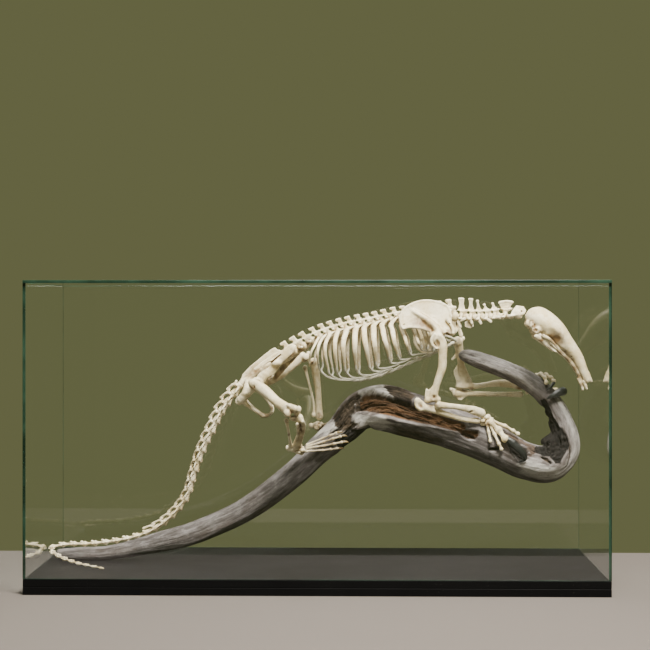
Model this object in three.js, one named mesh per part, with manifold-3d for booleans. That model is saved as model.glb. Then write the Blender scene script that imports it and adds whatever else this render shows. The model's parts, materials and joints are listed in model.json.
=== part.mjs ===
// A tamandua skeleton climbing along a driftwood branch, on a black board under a glass case.
// Millimetres, +Z up. The animal faces +X and its right side is towards -Y, the front of the case.
import * as THREE from 'three';
import { mergeVertices } from 'three/addons/utils/BufferGeometryUtils.js';
import Module from 'manifold-3d';

const wasm = await Module();
wasm.setup();

// Sizes of the case
const CASE_WIDTH = 660;
const CASE_DEPTH = 250;
const CASE_HEIGHT = 354;
const GLASS = 3;
const BOARD = 18;

// Sizes of the skeleton
const JOINT_GAP = 0.4;
const NECK_VERTEBRAE = 7;
const CHEST_VERTEBRAE = 16;
const RIB_PAIRS = 15;
const LOIN_VERTEBRAE = 3;
const TAIL_VERTEBRAE = 34;
const TAIL_LENGTHS = 4;
const TRUE_RIBS = 8;
const RIB_THICKNESS = 2.4;
const MIDLINE_CUT = 0.3;
const SCAPULA_THICKNESS = 2;
const PELVIS_MIDDLE = -8;

const TURN = Math.PI * 2;
const FRONT = new THREE.Vector3(0, -1, 0);
const BACK = new THREE.Vector3(0, 1, 0);
const RIGHT = new THREE.Vector3(1, 0, 0);
const UP = new THREE.Vector3(0, 0, 1);

const mix = THREE.MathUtils.lerp;
const point = (values) => new THREE.Vector3(...values);
const pathThrough = (points) => new THREE.CatmullRomCurve3(points.map((p) => point(p.slice(0, 3))));

// A path whose fractions count its points evenly, whatever the distance between them
function stopPath(points) {
  const curve = pathThrough(points);
  return {
    getPointAt: (share) => curve.getPoint(share),
    getTangentAt: (share) => curve.getTangent(share),
  };
}

// A value read between evenly spaced stops, at a fraction from 0 to 1.
function between(stops, fraction) {
  const place = THREE.MathUtils.clamp(fraction, 0, 1) * (stops.length - 1);
  const index = Math.min(Math.floor(place), stops.length - 2);
  return mix(stops[index], stops[index + 1], place - index);
}

function solidFrom(geometry) {
  geometry.deleteAttribute('normal');
  geometry.deleteAttribute('uv');
  const welded = mergeVertices(geometry, 1e-4);
  const mesh = new wasm.Mesh({
    numProp: 3,
    vertProperties: new Float32Array(welded.attributes.position.array),
    triVerts: new Uint32Array(welded.index.array),
  });
  return new wasm.Manifold(mesh);
}

function joined(solids) {
  return solids.reduce((whole, next) => whole.add(next));
}

// Side, up and forward directions at a fraction of a path, steadied by a side or an up direction.
function frameAt(path, fraction, steady) {
  const at = THREE.MathUtils.clamp(fraction, 0, 1);
  const forward = path.getTangentAt(at);
  const up = new THREE.Vector3();
  if (steady.up) {
    up.copy(steady.up).addScaledVector(forward, -steady.up.dot(forward)).normalize();
  } else {
    up.crossVectors(steady.side, forward).normalize();
  }
  const side = new THREE.Vector3().crossVectors(forward, up);
  return { origin: path.getPointAt(at), side, up, forward };
}

function placeIn(frame, [across, above, along]) {
  return frame.origin.clone()
    .addScaledVector(frame.side, across)
    .addScaledVector(frame.up, above)
    .addScaledVector(frame.forward, along);
}

// A closed solid along a path. Each ring has its fraction of the path and an outline of
// [across, above, along] points, in the same number on every ring.
function loft(path, rings, steady) {
  const sides = rings[0].outline.length;
  const last = rings.length - 1;
  const geometry = new THREE.CylinderGeometry(1, 1, 1, sides, last);
  const position = geometry.attributes.position;
  const frames = rings.map((ring) => frameAt(path, ring.at, steady));
  for (let i = 0; i < position.count; i += 1) {
    const x = position.getX(i);
    const z = position.getZ(i);
    const r = Math.round((0.5 - position.getY(i)) * last);
    const outline = rings[r].outline;
    let local = [0, 1, 2].map((axis) => outline.reduce((sum, p) => sum + p[axis], 0) / sides);
    if (Math.hypot(x, z) > 0.5) {
      local = outline[Math.round((Math.atan2(x, z) / TURN) * sides + sides) % sides];
    }
    position.setXYZ(i, ...placeIn(frames[r], local).toArray());
  }
  return solidFrom(geometry);
}

function oval(sides, halfWidth, halfHeight, across = 0, above = 0) {
  return Array.from({ length: sides }, (_, k) => {
    const angle = (k / sides) * TURN;
    return [across + halfWidth * Math.cos(angle), above + halfHeight * Math.sin(angle), 0];
  });
}

// A long bone through a few points, with its half widths and half heights from end to end.
function bone(points, halfWidths, halfHeights, steady, sides = 6, ringCount = 6) {
  const rings = Array.from({ length: ringCount }, (_, i) => {
    const at = i / (ringCount - 1);
    return { at, outline: oval(sides, between(halfWidths, at), between(halfHeights, at)) };
  });
  return loft(pathThrough(points), rings, steady);
}

function knob([x, y, z], [rx, ry, rz], turns = 8, rows = 5) {
  const geometry = new THREE.SphereGeometry(1, turns, rows);
  geometry.scale(rx, ry, rz);
  geometry.translate(x, y, z);
  return solidFrom(geometry);
}

function block([x, y, z], [width, depth, height]) {
  const geometry = new THREE.BoxGeometry(width, depth, height);
  geometry.translate(x, y, z);
  return solidFrom(geometry);
}

const model = new THREE.Group();
model.name = 'tamandua_skeleton_case';
const skeleton = new THREE.Group();
skeleton.name = 'skeleton';
model.add(skeleton);

function addPiece(name, solid, finish, home = skeleton) {
  const mesh = solid.getMesh();
  const geometry = new THREE.BufferGeometry();
  geometry.setAttribute('position', new THREE.BufferAttribute(new Float32Array(mesh.vertProperties), 3));
  geometry.setIndex(new THREE.BufferAttribute(new Uint32Array(mesh.triVerts), 1));
  geometry.computeVertexNormals();
  const piece = new THREE.Mesh(geometry, new THREE.MeshStandardMaterial(finish));
  piece.name = name;
  home.add(piece);
}

const BONE = { color: 0xd8cdb2, roughness: 0.55, metalness: 0 };
const HORN = { color: 0x2f3029, roughness: 0.3, metalness: 0 };
const WOOD = { color: 0x8d8172, roughness: 0.9, metalness: 0 };
const BLACK = { color: 0x121213, roughness: 0.35, metalness: 0 };
const CLEAR = { color: 0xdfe9e4, roughness: 0.05, metalness: 0, transparent: true, opacity: 0.2 };

// Base board and the five panes that stand on it
const wallHeight = CASE_HEIGHT - BOARD - GLASS;
const wallMiddle = BOARD + wallHeight / 2;
const sideDepth = CASE_DEPTH - 2 * GLASS;
addPiece('base_board', block([0, 0, BOARD / 2], [CASE_WIDTH, CASE_DEPTH, BOARD]), BLACK, model);
for (const [name, direction] of [['glass_front', -1], ['glass_back', 1]]) {
  const y = direction * (CASE_DEPTH - GLASS) / 2;
  addPiece(name, block([0, y, wallMiddle], [CASE_WIDTH, GLASS, wallHeight]), CLEAR, model);
}
for (const [name, direction] of [['glass_left', -1], ['glass_right', 1]]) {
  const x = direction * (CASE_WIDTH - GLASS) / 2;
  addPiece(name, block([x, 0, wallMiddle], [GLASS, sideDepth, wallHeight]), CLEAR, model);
}
const topMiddle = CASE_HEIGHT - GLASS / 2;
addPiece('glass_top', block([0, 0, topMiddle], [CASE_WIDTH, CASE_DEPTH, GLASS]), CLEAR, model);

// Driftwood: a log that lies on the board at its left end, climbs, and hooks back on itself.
// Each stop along it has the place of its heart and its radius.
const WOOD_SIDES = 10;
const WOOD_STOPS = [
  [-318, 17, 25, 5.5], [-289, 17, 25.5, 8], [-258, 17, 26.5, 8.6], [-228, 16, 32, 9.8], [-191, 15, 41, 11.6],
  [-155, 14, 50, 12.8], [-125, 13, 62, 13.2], [-88, 11, 80, 13.6], [-56, 9, 102, 14], [-26, 8, 126, 15],
  [0, 6, 151.5, 16.6], [26, 4, 173, 19.4], [54, 3, 199.4, 24], [80, 1, 203.6, 26.8], [110, 0, 195, 26],
  [145, -1, 184, 24], [181, -2, 171, 23], [217, -2, 156, 23], [247, -2, 142, 22.4], [275, -2, 138, 22],
  [293.4, -1, 153.4, 17.2], [295, 0, 175, 15], [288, 2, 197.4, 12.8], [273, 4, 218.6, 12.2],
  [253.4, 6, 234.2, 12], [227, 8, 248, 11], [200, 9, 257.8, 10.8], [180, 9, 264.6, 8.8], [168, 9, 267, 4.6],
];
const BEND_STOPS = [17, 23];
const woodPath = stopPath(WOOD_STOPS);
const woodRadius = (share) => between(WOOD_STOPS.map((stop) => stop[3]), share);

// The rotted hollow along the top of the log, as a share of the radius lost at a ring and angle
const ROT_MIDDLE = 0.53;
const ROT_REACH = 0.1;
function rotDepth(share, angle) {
  const along = 1 - Math.abs(share - ROT_MIDDLE) / ROT_REACH;
  const around = Math.cos(angle - 1.05);
  return 0.36 * Math.min(1, Math.max(0, along) * 2) * Math.max(0, around) ** 4;
}

function driftwood(grow) {
  const last = WOOD_STOPS.length - 1;
  const places = WOOD_STOPS.map((_, i) => i);
  for (let i = BEND_STOPS[0]; i < BEND_STOPS[1]; i += 1) {
    places.push(i + 0.5);
  }
  places.sort((one, other) => one - other);
  const rings = places.map((place) => {
    const at = place / last;
    const outline = oval(WOOD_SIDES, 1, 1).map(([x, y], k) => {
      const angle = (k / WOOD_SIDES) * TURN;
      const weathered = 1.02 + 0.04 * Math.sin(2 * angle + 21 * at) + 0.03 * Math.sin(5 * angle - 34 * at);
      const r = woodRadius(at) * weathered * (1 - rotDepth(at, angle)) + grow;
      return [x * r, y * r, 0];
    });
    return { at, outline };
  });
  return loft(woodPath, rings, { side: FRONT });
}

// A place on the near or far face of the wood, lifted off it, given as it is seen from the front
function onWood(x, z, face, lift) {
  let nearest = { gap: Infinity };
  for (let i = 0; i <= 240; i += 1) {
    const p = woodPath.getPointAt(i / 240);
    const gap = Math.hypot(p.x - x, p.z - z);
    if (gap < nearest.gap) {
      nearest = { gap, y: p.y, radius: 1.08 * woodRadius(i / 240) };
    }
  }
  const swell = Math.sqrt(Math.max(0, nearest.radius ** 2 - nearest.gap ** 2));
  return [x, nearest.y + face * (swell + lift), z];
}

const boardTop = block([0, 0, BOARD / 2], [CASE_WIDTH, CASE_DEPTH, BOARD]);
const wood = driftwood(0).subtract(boardTop);
const woodRoom = driftwood(JOINT_GAP);
addPiece('driftwood', wood, WOOD, model);

// Backbone: one path from the skull to the root of the tail
const backbone = pathThrough([
  [243, -33, 312], [222, -30, 314], [191, -26, 312], [158, -22, 313], [133, -20, 312], [97, -18, 310],
  [68, -16, 304], [32, -14, 296], [-2, -12, 285], [-33, -10, 267], [-63, -8, 250], [-90, -8, 233],
]);
const backboneLength = backbone.getLength();
const NECK_END = 82 / backboneLength;
const CHEST_END = 253 / backboneLength;
const LOIN_END = 289.5 / backboneLength;

// Outline of a vertebra: wing tips, spine and body, anticlockwise seen from the skull
function vertebraOutline({ body, wing, wingHeight, spine, lean, blade }) {
  const roof = body * 1.05;
  return [
    [wing, wingHeight, 0], [blade * 1.6, roof, 0], [blade, spine, lean], [-blade, spine, lean],
    [-blade * 1.6, roof, 0], [-wing, wingHeight, 0],
    [-body * 0.7, -body * 0.9, 0], [body * 0.7, -body * 0.9, 0],
  ];
}

function vertebrae(start, end, count, shapeOf) {
  const rings = [];
  const step = (end - start) / count;
  const inset = JOINT_GAP / 2 / backboneLength;
  for (let i = 0; i < count; i += 1) {
    const shape = shapeOf(i / (count - 1));
    const { body, blade } = shape;
    const waist = { body: body * 0.86, wing: body * 0.9, wingHeight: 0, spine: body * 1.35, lean: 0, blade };
    const places = [[0.02, waist], [0.3, shape], [0.72, shape]];
    if (i === count - 1) {
      places.push([1, waist]);
    }
    for (const [share, outline] of places) {
      const at = THREE.MathUtils.clamp(start + (i + share) * step, start + inset, end - inset);
      rings.push({ at, outline: vertebraOutline(outline) });
    }
  }
  return loft(backbone, rings, { side: BACK });
}

const neckShape = (f) => ({
  body: between([5.5, 5, 4.8, 4.6, 4.6], f),
  wing: between([14, 10, 9, 9.5, 10, 10, 10], f),
  wingHeight: -1,
  spine: between([7, 17, 14, 16, 18, 19.5, 20], f),
  lean: between([0, -2, 0, 1, 1], f),
  blade: 1.3,
});
const chestShape = (f) => ({
  body: between([4.6, 4.6, 5, 5.4], f),
  wing: between([9, 8, 7.5, 7.5], f),
  wingHeight: 2.5,
  spine: between([20, 16.5, 15, 15, 15.5, 16.5, 17], f),
  lean: between([4, 4, 3, 2.5, 2], f),
  blade: 1.2,
});
const loinShape = (f) => ({
  body: between([5.6, 6], f),
  wing: 10,
  wingHeight: 0,
  spine: between([17.5, 17], f),
  lean: 2,
  blade: 1.4,
});
addPiece('neck', vertebrae(0, NECK_END, NECK_VERTEBRAE, neckShape), BONE);
addPiece('thoracic_spine', vertebrae(NECK_END, CHEST_END, CHEST_VERTEBRAE, chestShape), BONE);
addPiece('lumbar_spine', vertebrae(CHEST_END, LOIN_END, LOIN_VERTEBRAE, loinShape), BONE);

// Pelvis: the fused sacrum, two long hip bones and the thin pubic ring below
const sacrumRings = [0, 0.2, 0.45, 0.7, 0.88, 1].map((share) => ({
  at: mix(LOIN_END + JOINT_GAP / backboneLength, 1, share),
  outline: vertebraOutline({
    body: between([6, 5.6, 5], share),
    wing: between([9, 13, 10, 9], share),
    wingHeight: 1,
    spine: between([17, 16, 15, 14], share),
    lean: 0,
    blade: 1.4,
  }),
}));
const acrossPelvis = ([x, y, z], side) => [x, PELVIS_MIDDLE + side * y, z];
const pelvisParts = [loft(backbone, sacrumRings, { side: BACK })];
for (const side of [-1, 1]) {
  const steady = { side: FRONT };
  const toSide = (points) => points.map((p) => acrossPelvis(p, side));
  const hip = toSide([[-32, 18, 275], [-52, 18, 256], [-72, 19, 233], [-84, 18, 220.6], [-91, 14.6, 214]]);
  pelvisParts.push(bone(hip, [2.2, 2.6, 3, 4.6, 3.2, 3.2, 3], [5, 6, 4.8, 7, 4.6, 5, 3.4], steady, 6, 7));
  const pubis = toSide([[-70, 17, 228], [-58, 11, 207], [-62, 3, 196], [-67, -0.6, 195]]);
  pelvisParts.push(bone(pubis, [3, 1.8, 1.6, 1.8], [3.4, 2, 1.8, 2], steady, 4, 5));
  const ischium = toSide([[-89.6, 14, 215], [-83, 9, 204], [-66, -0.6, 195]]);
  pelvisParts.push(bone(ischium, [2.8, 1.7, 1.8], [3, 1.8, 2], steady, 4, 4));
  const frontTie = toSide([[-50, 0, 257], [-50, 19, 258]]);
  pelvisParts.push(bone(frontTie, [5, 5], [4, 4], { up: UP }, 4, 2));
  const rearTie = toSide([[-84, 0, 236], [-86, 19, 221]]);
  pelvisParts.push(bone(rearTie, [4, 3.4], [3, 3], { up: UP }, 4, 2));
}
addPiece('pelvis', joined(pelvisParts), BONE);

// Tail: a long row of spool-shaped bones in four lengths, ending in a curl on the board
const tailPath = pathThrough([
  [-92, -8, 231], [-112, -7, 205], [-126, -5, 179], [-139, -1, 152], [-149, 4, 124], [-158.5, 9, 96],
  [-177, 13, 72.5], [-201, 16, 55], [-229, 17, 45], [-270, 18, 38.4], [-308, 18, 36.5], [-320.5, 14, 34],
  [-320.5, 5, 31], [-311, -8, 27], [-284, -32, 22], [-251, -58, 20.4],
]);
const TAIL_RADII = [6.2, 5.8, 5.3, 4.9, 4.4, 3.9, 3.4, 3.1, 2.9, 2.5, 1.8, 1.2];
const TAIL_WINGS = [10, 8, 6.6, 5.6, 4.8, 4, 3.4, 3.1, 2.8, 2.4, 1.7, 1.1];
const TAIL_BONE = [[0.2, 1], [0.72, 0.6]];

function tailOutline(at, share) {
  const half = between(TAIL_RADII, at) * share;
  const wing = between(TAIL_WINGS, at) * share;
  return [[wing, 0, 0], [half * 0.6, half, 0], [-half * 0.6, half, 0],
    [-wing, 0, 0], [-half * 0.6, -half, 0], [half * 0.6, -half, 0]];
}

let firstBone = 0;
for (let part = 1; part <= TAIL_LENGTHS; part += 1) {
  const endBone = Math.round((TAIL_VERTEBRAE * part) / TAIL_LENGTHS);
  const rings = [{ at: firstBone / TAIL_VERTEBRAE, outline: tailOutline(firstBone / TAIL_VERTEBRAE, 0.8) }];
  for (let i = firstBone; i < endBone; i += 1) {
    for (const [place, share] of TAIL_BONE) {
      const at = (i + place) / TAIL_VERTEBRAE;
      rings.push({ at, outline: tailOutline(at, share) });
    }
  }
  const end = (endBone - JOINT_GAP / 16) / TAIL_VERTEBRAE;
  rings.push({ at: end, outline: tailOutline(end, 0.8) });
  const length = loft(tailPath, rings, { up: UP }).subtract(woodRoom);
  addPiece(`tail_${part}`, length, BONE);
  firstBone = endBone;
}

// Rib cage: each side has its ribs, their cartilage and half of the breastbone
const breastbone = pathThrough([
  [141, -21, 271.5], [126.5, -20, 265.5], [109, -19.5, 258], [91.5, -18.5, 250], [73.5, -17.5, 243],
  [52.5, -17, 238], [32, -16, 237],
]);
const BREASTBONE_JOINTS = 0.44;
const RIB_BREADTHS = [4.4, 4.6, 4.6, 5, 5.2, 5.8, 6.4, 6.8, 6.8, 6.8, 6.4, 5.6, 4.8, 3.8, 3.4];

// Each rib below its knuckle: its place along the case, its distance from the middle, and its height
const RIB_STOPS = [
  [[146, 11, 301.5], [146, 12.5, 296], [145.5, 13.5, 290], [143.5, 14, 284], [141, 10, 278]],
  [[135, 12, 300.5], [136, 15, 294.5], [136.5, 18, 287.5], [136, 19, 280.5], [134.5, 13.5, 274.5]],
  [[123.5, 13, 301.5], [124.5, 18, 294.5], [126.5, 22, 287.5], [127, 23, 280.5], [127.5, 16.5, 275.5]],
  [[111.5, 14, 303], [113, 20.5, 296.5], [115.5, 25.5, 289], [118, 27, 281.5], [120.5, 19.5, 275.5]],
  [[98, 15, 303], [99.5, 23, 294.5], [102, 28.5, 288], [104, 30, 280.5], [107.5, 21.5, 270]],
  [[86, 16.5, 303.5], [87.5, 25, 296.5], [88.5, 31.5, 289.5], [90, 33, 281], [95, 24, 264.5]],
  [[75.5, 17.5, 303.5], [76.5, 26.5, 296.5], [77.5, 33, 289], [80, 35, 280], [84.5, 25, 261.5]],
  [[66, 18.5, 302.5], [65.5, 28, 296], [65.5, 35, 288], [66.5, 37, 278.5], [69, 26.5, 256]],
  [[55, 19, 300.5], [54.5, 29, 294], [55, 36, 286.5], [56.5, 38, 277.5], [61.5, 27.5, 252]],
  [[45.5, 19.5, 299.5], [44, 29.5, 293.5], [43.5, 37, 285.5], [43.5, 39, 275], [45.5, 28, 251]],
  [[34.5, 19.5, 297.5], [32.5, 29.5, 292], [30.5, 37, 284.5], [30, 39, 274], [32.5, 28, 249.5]],
  [[24.5, 19.5, 296], [22, 29.5, 290.5], [20.5, 37, 283], [20.5, 39, 271.5], [23, 28, 248]],
  [[15.5, 19, 293], [12, 29, 287.5], [9.5, 36, 281], [9, 38, 270.5], [14, 27.5, 245.5]],
  [[8, 18.5, 290], [4.5, 28, 285.5], [1.5, 35, 278.5], [0, 37, 269], [1.5, 26.5, 253.5]],
  [[1, 17.5, 288], [-1.5, 26.5, 283], [-4.5, 33, 277], [-7.5, 35, 270.5], [-9.5, 25, 254.5]],
];

// The far ribs hang a little further forward than the near ones
const FAR_RIB_LEAD = [2, 3.4, 4.4, 4.4, 4];

function ribPoints(i, side) {
  const at = NECK_END + ((i + 1.5) * (CHEST_END - NECK_END)) / CHEST_VERTEBRAE;
  const top = backbone.getPointAt(at);
  const knuckle = [top.x, top.y + side * 10.4, top.z + 2.4];
  const lead = (k) => (side > 0 ? FAR_RIB_LEAD[k] : 0);
  return [knuckle, ...RIB_STOPS[i].map(([x, out, z], k) => [x + lead(k), top.y + side * out, z])];
}

// A rib is flat outside and ridged inside, and narrows to a rod of cartilage below
function rib(points, breadths) {
  const count = breadths.length;
  const rings = breadths.map((breadth, k) => {
    const half = breadth / 2;
    const thick = RIB_THICKNESS / 2;
    return { at: k / (count - 1), outline: [[half, -thick, 0], [0, thick, 0], [-half, -thick, 0]] };
  });
  return loft(pathThrough(points), rings, { side: RIGHT });
}

function ribSide(side) {
  const parts = [];
  const ends = [];
  for (let i = 0; i < RIB_PAIRS; i += 1) {
    const wide = RIB_BREADTHS[i];
    const points = ribPoints(i, side);
    const end = points[points.length - 1];
    ends.push(end);
    if (i < TRUE_RIBS) {
      const joint = breastbone.getPointAt(mix(0.02, BREASTBONE_JOINTS, i / (TRUE_RIBS - 1)));
      points.push([mix(end[0], joint.x, 0.34), mix(end[1], joint.y, 0.5), mix(end[2], joint.z, 0.8) - 1.6]);
      points.push([joint.x, joint.y + side * 1.2, joint.z]);
      parts.push(rib(points, [wide * 0.6, wide, wide, wide, wide * 0.7, wide * 0.5, wide * 0.5]));
    } else {
      parts.push(rib(points, [wide * 0.6, wide, wide, wide * 0.9, wide * 0.6]));
    }
  }
  const arch = ends.slice(TRUE_RIBS - 1).reverse();
  const tip = breastbone.getPointAt(BREASTBONE_JOINTS + 0.04);
  arch.push([tip.x, tip.y + side * 1.4, tip.z]);
  const archRings = arch.map((_, k) => ({ at: k / (arch.length - 1), outline: oval(4, 1.7, 1.7) }));
  parts.push(loft(stopPath(arch), archRings, { up: UP }));
  const halfPlate = Array.from({ length: 9 }, (_, k) => {
    const width = k % 2 ? 2.2 : 3;
    const cut = MIDLINE_CUT / 2;
    const outline = [[side * width, 0, 0], [side * cut, 2.4, 0], [side * cut, -2.4, 0]];
    return { at: k / 8, outline: side > 0 ? outline : outline.reverse() };
  });
  parts.push(loft(breastbone, halfPlate, { side: BACK }));
  return joined(parts);
}
addPiece('rib_cage_right', ribSide(-1), BONE);
addPiece('rib_cage_left', ribSide(1), BONE);

// Skull and lower jaw: a rounded braincase that runs out into a long curved snout
const SKULL_STOPS = [
  [246.9, -34, 310.5, 9.4, 10], [254.5, -34.4, 311.1, 15, 18], [264.4, -35, 305, 15.3, 20],
  [276.9, -36, 295.3, 13.8, 18.5], [288.3, -36.7, 281.9, 11, 14.5], [295.3, -37.3, 273.9, 9.5, 11.5],
  [301.7, -37.8, 265.9, 8.1, 9.2], [307.6, -38.3, 254.6, 6.5, 7.4], [311.6, -38.7, 245.6, 5.5, 6.2],
  [315.8, -39, 237, 4.7, 5],
];
const skullRings = SKULL_STOPS.map(([, , , height, width], i) => ({
  at: i / (SKULL_STOPS.length - 1),
  outline: oval(10, width, height),
}));
const orbits = [-1, 1].map((side) => knob([276, -36.3 + side * 22, 287], [10, 8, 8], 7, 5));
const skullSolid = loft(stopPath(SKULL_STOPS), skullRings, { side: FRONT });
const skull = skullSolid.subtract(orbits[0]).subtract(orbits[1]);

const jawParts = [-1, 1].map((side) => bone(
  [[254.7, -36 + side * 14.5, 288.7], [272, -36.4 + side * 10, 275.1], [288.7, -37.2 + side * 5.5, 262.2],
    [304.3, -38.4 + side * 2.5, 241.6], [309.8, -39 + side, 227]],
  [1.6, 1.7, 1.6, 1.6, 1.4], [3, 2.5, 2, 1.8, 1.2], { side: FRONT }, 5, 8,
));
addPiece('skull', skull, BONE);
addPiece('mandible', joined(jawParts), BONE);

// Shoulder blades: thin fans with a ridge on the outer face, leaning in along the ribs
const SCAPULA_LEAN = 0.33;
function scapula(fanTurn, joint, side) {
  const fan = new THREE.Shape();
  fan.moveTo(-5, -3);
  fan.quadraticCurveTo(-12, 8, -38, 14);
  fan.quadraticCurveTo(-39, 34, -24, 42);
  fan.quadraticCurveTo(-8, 49, 6, 40);
  fan.quadraticCurveTo(18, 31, 22, 10);
  fan.quadraticCurveTo(20, 4, 10, 4);
  fan.lineTo(4, -3);
  const plate = new THREE.ExtrudeGeometry(fan, {
    depth: SCAPULA_THICKNESS, bevelEnabled: false, curveSegments: 3,
  });
  plate.translate(0, 0, -SCAPULA_THICKNESS / 2);
  const ridge = new THREE.BoxGeometry(36, 2, 6);
  ridge.rotateZ(Math.PI * 0.64);
  ridge.translate(-8, 23, -side * 3);
  const head = new THREE.CylinderGeometry(5.2, 4.2, 6, 8);
  head.translate(0, -3, 0);
  return joined([plate, ridge, head].map((geometry) => {
    geometry.rotateZ(fanTurn);
    geometry.rotateX(Math.PI / 2 - side * -SCAPULA_LEAN);
    geometry.translate(...joint);
    return solidFrom(geometry);
  }));
}
addPiece('scapula_r', scapula(0, [138, -56, 289.5], -1), BONE);
addPiece('scapula_l', scapula(1.05, [164, 16, 293.6], 1), BONE);

// Long bones of the limbs, each from its upper joint to its lower one
const limbs = {
  humerus_r: [[[139, -58, 282], [145.5, -60, 262], [140, -59, 236], [133, -56, 219]],
    [7, 5, 3.8, 4, 4.8, 5.4], [8, 5.4, 4, 4.8, 6, 8]],
  ulna_r: [[[115.6, -57, 213], [133, -53, 205], [160, -40, 196.8], [188, -24, 190.4]],
    [3, 3.4, 2.6, 2.4, 2.8], [4, 4.2, 3, 2.6, 3]],
  radius_r: [[[142, -56, 209], [166, -44, 207], [192, -26, 199]],
    [4, 2.8, 2.6, 3, 4], [3.2, 2.8, 2.6, 2.8, 3.4]],
  humerus_l: [[[168, 18, 281], [171.5, 22, 260], [177, 26, 236]],
    [6.4, 4.6, 4, 4.2, 4.8, 5], [7, 5, 4.4, 5, 6.6, 8]],
  ulna_l: [[[160, 30.4, 222.6], [182, 30.5, 219.6], [214, 29, 218.6], [246, 26.5, 218.6]],
    [3, 3.4, 2.6, 2.4, 2.8], [4, 4.2, 3, 2.6, 3]],
  radius_l: [[[185, 27, 227.8], [216, 25.6, 232], [246, 24.4, 227.4]],
    [3.6, 2.6, 2.6, 3, 3.6], [3, 2.6, 2.6, 2.8, 3.2]],
  femur_r: [[[-73, -40, 232.6], [-62, -49, 226.6], [-46.4, -64, 214.2], [-32.6, -82, 206.6]],
    [6, 6, 5.4, 5.4, 6, 7.6], [6, 6, 5.4, 5.4, 6.2, 8]],
  tibia_r: [[[-20.6, -80, 196.6], [-18.6, -54, 182.6], [-25.4, -24, 160]],
    [6, 4.4, 3.2, 3, 4.6], [6, 4.4, 3.2, 3, 4]],
  fibula_r: [[[-34.7, -80, 193], [-32.4, -54, 176.4], [-31.8, -25, 161.4]],
    [2.4, 1.5, 1.4, 2.4], [2.4, 1.5, 1.4, 2.4]],
  femur_l: [[[-74, 20, 229.6], [-50, 31, 238.6], [-35, 34, 250], [-20, 34.6, 264]],
    [5.8, 5.6, 4.8, 4.8, 5.4, 6.6], [5.8, 5.4, 4.8, 4.8, 5.4, 7]],
  tibia_l: [[[-5.6, 36, 257.6], [-2, 36, 228], [0.6, 33, 192]],
    [5.6, 4.4, 3.2, 3, 4.6], [5.6, 4.4, 3.2, 3, 4]],
  fibula_l: [[[-16.9, 43, 250], [-11, 42, 226.3], [-5.8, 38, 203]],
    [2.2, 1.5, 1.4, 2.4], [2.2, 1.5, 1.4, 2.4]],
};
for (const [name, [points, widths, heights]] of Object.entries(limbs)) {
  addPiece(name, bone(points, widths, heights, { side: FRONT }), BONE);
}

// Hands and feet: the small bones of the wrist or ankle, and the digits that grip the wood
const DIGIT_RADII = [1.1, 0.8, 1.15, 0.8, 1];

function paw(core, coreSize, digits) {
  const parts = [knob(core, coreSize, 7, 5)];
  for (const [radius, ...points] of digits) {
    const radii = DIGIT_RADII.map((share) => share * radius);
    parts.push(bone(points, radii, radii, { side: FRONT }, 4, 5));
  }
  return joined(parts).subtract(woodRoom);
}

function claw(points, radius, sides = 4) {
  const tips = [0.85, 1, 0.7, 0.12];
  const widths = tips.map((share) => share * radius * 0.75);
  const heights = tips.map((share) => share * radius);
  return bone(points, widths, heights, { side: FRONT }, sides, 5).subtract(woodRoom);
}

addPiece('hand_r', paw([200, -21, 190], [8, 7, 7], [
  [1.7, [199, -24, 187], onWood(201, 176, -1, 4), onWood(203, 165, -1, 4)],
  [1.9, [202, -24, 186], onWood(209, 172, -1, 4), onWood(216, 157, -1, 4)],
  [4, [203, -23, 188], onWood(213, 179, -1, 6), onWood(220, 169, -1, 6)],
  [2.4, [205, -18, 191], onWood(222, 186, -1, 16), onWood(237, 176, -1, 10)],
]), BONE);
addPiece('claw_hand_r', claw([
  [223, -31, 168.6], [236, -32, 158], [245, -30, 147],
], 4.4, 6), HORN);
addPiece('hand_l', paw([257, 25, 225], [8, 7, 8], [
  [1.8, [257, 24, 230], [262, 17, 242], [270, 4, 243], [276, -6, 237]],
  [3.4, [260, 25, 226], [275, 24, 229], [288, 13, 228], [292.5, 3, 227]],
  [2.2, [260, 26, 224], [272, 26, 226], [286, 20, 220]],
]), BONE);
addPiece('claw_hand_l', claw([[292.4, -1.2, 226.4], [286, -12, 225], [272, -15.4, 217.4]], 5.2, 6), HORN);
addPiece('claw_hand_l_small', claw([[280.4, -7, 235], [276.4, -11.4, 230.4], [269.6, -13.4, 224.6]], 2.2), HORN);

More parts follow.
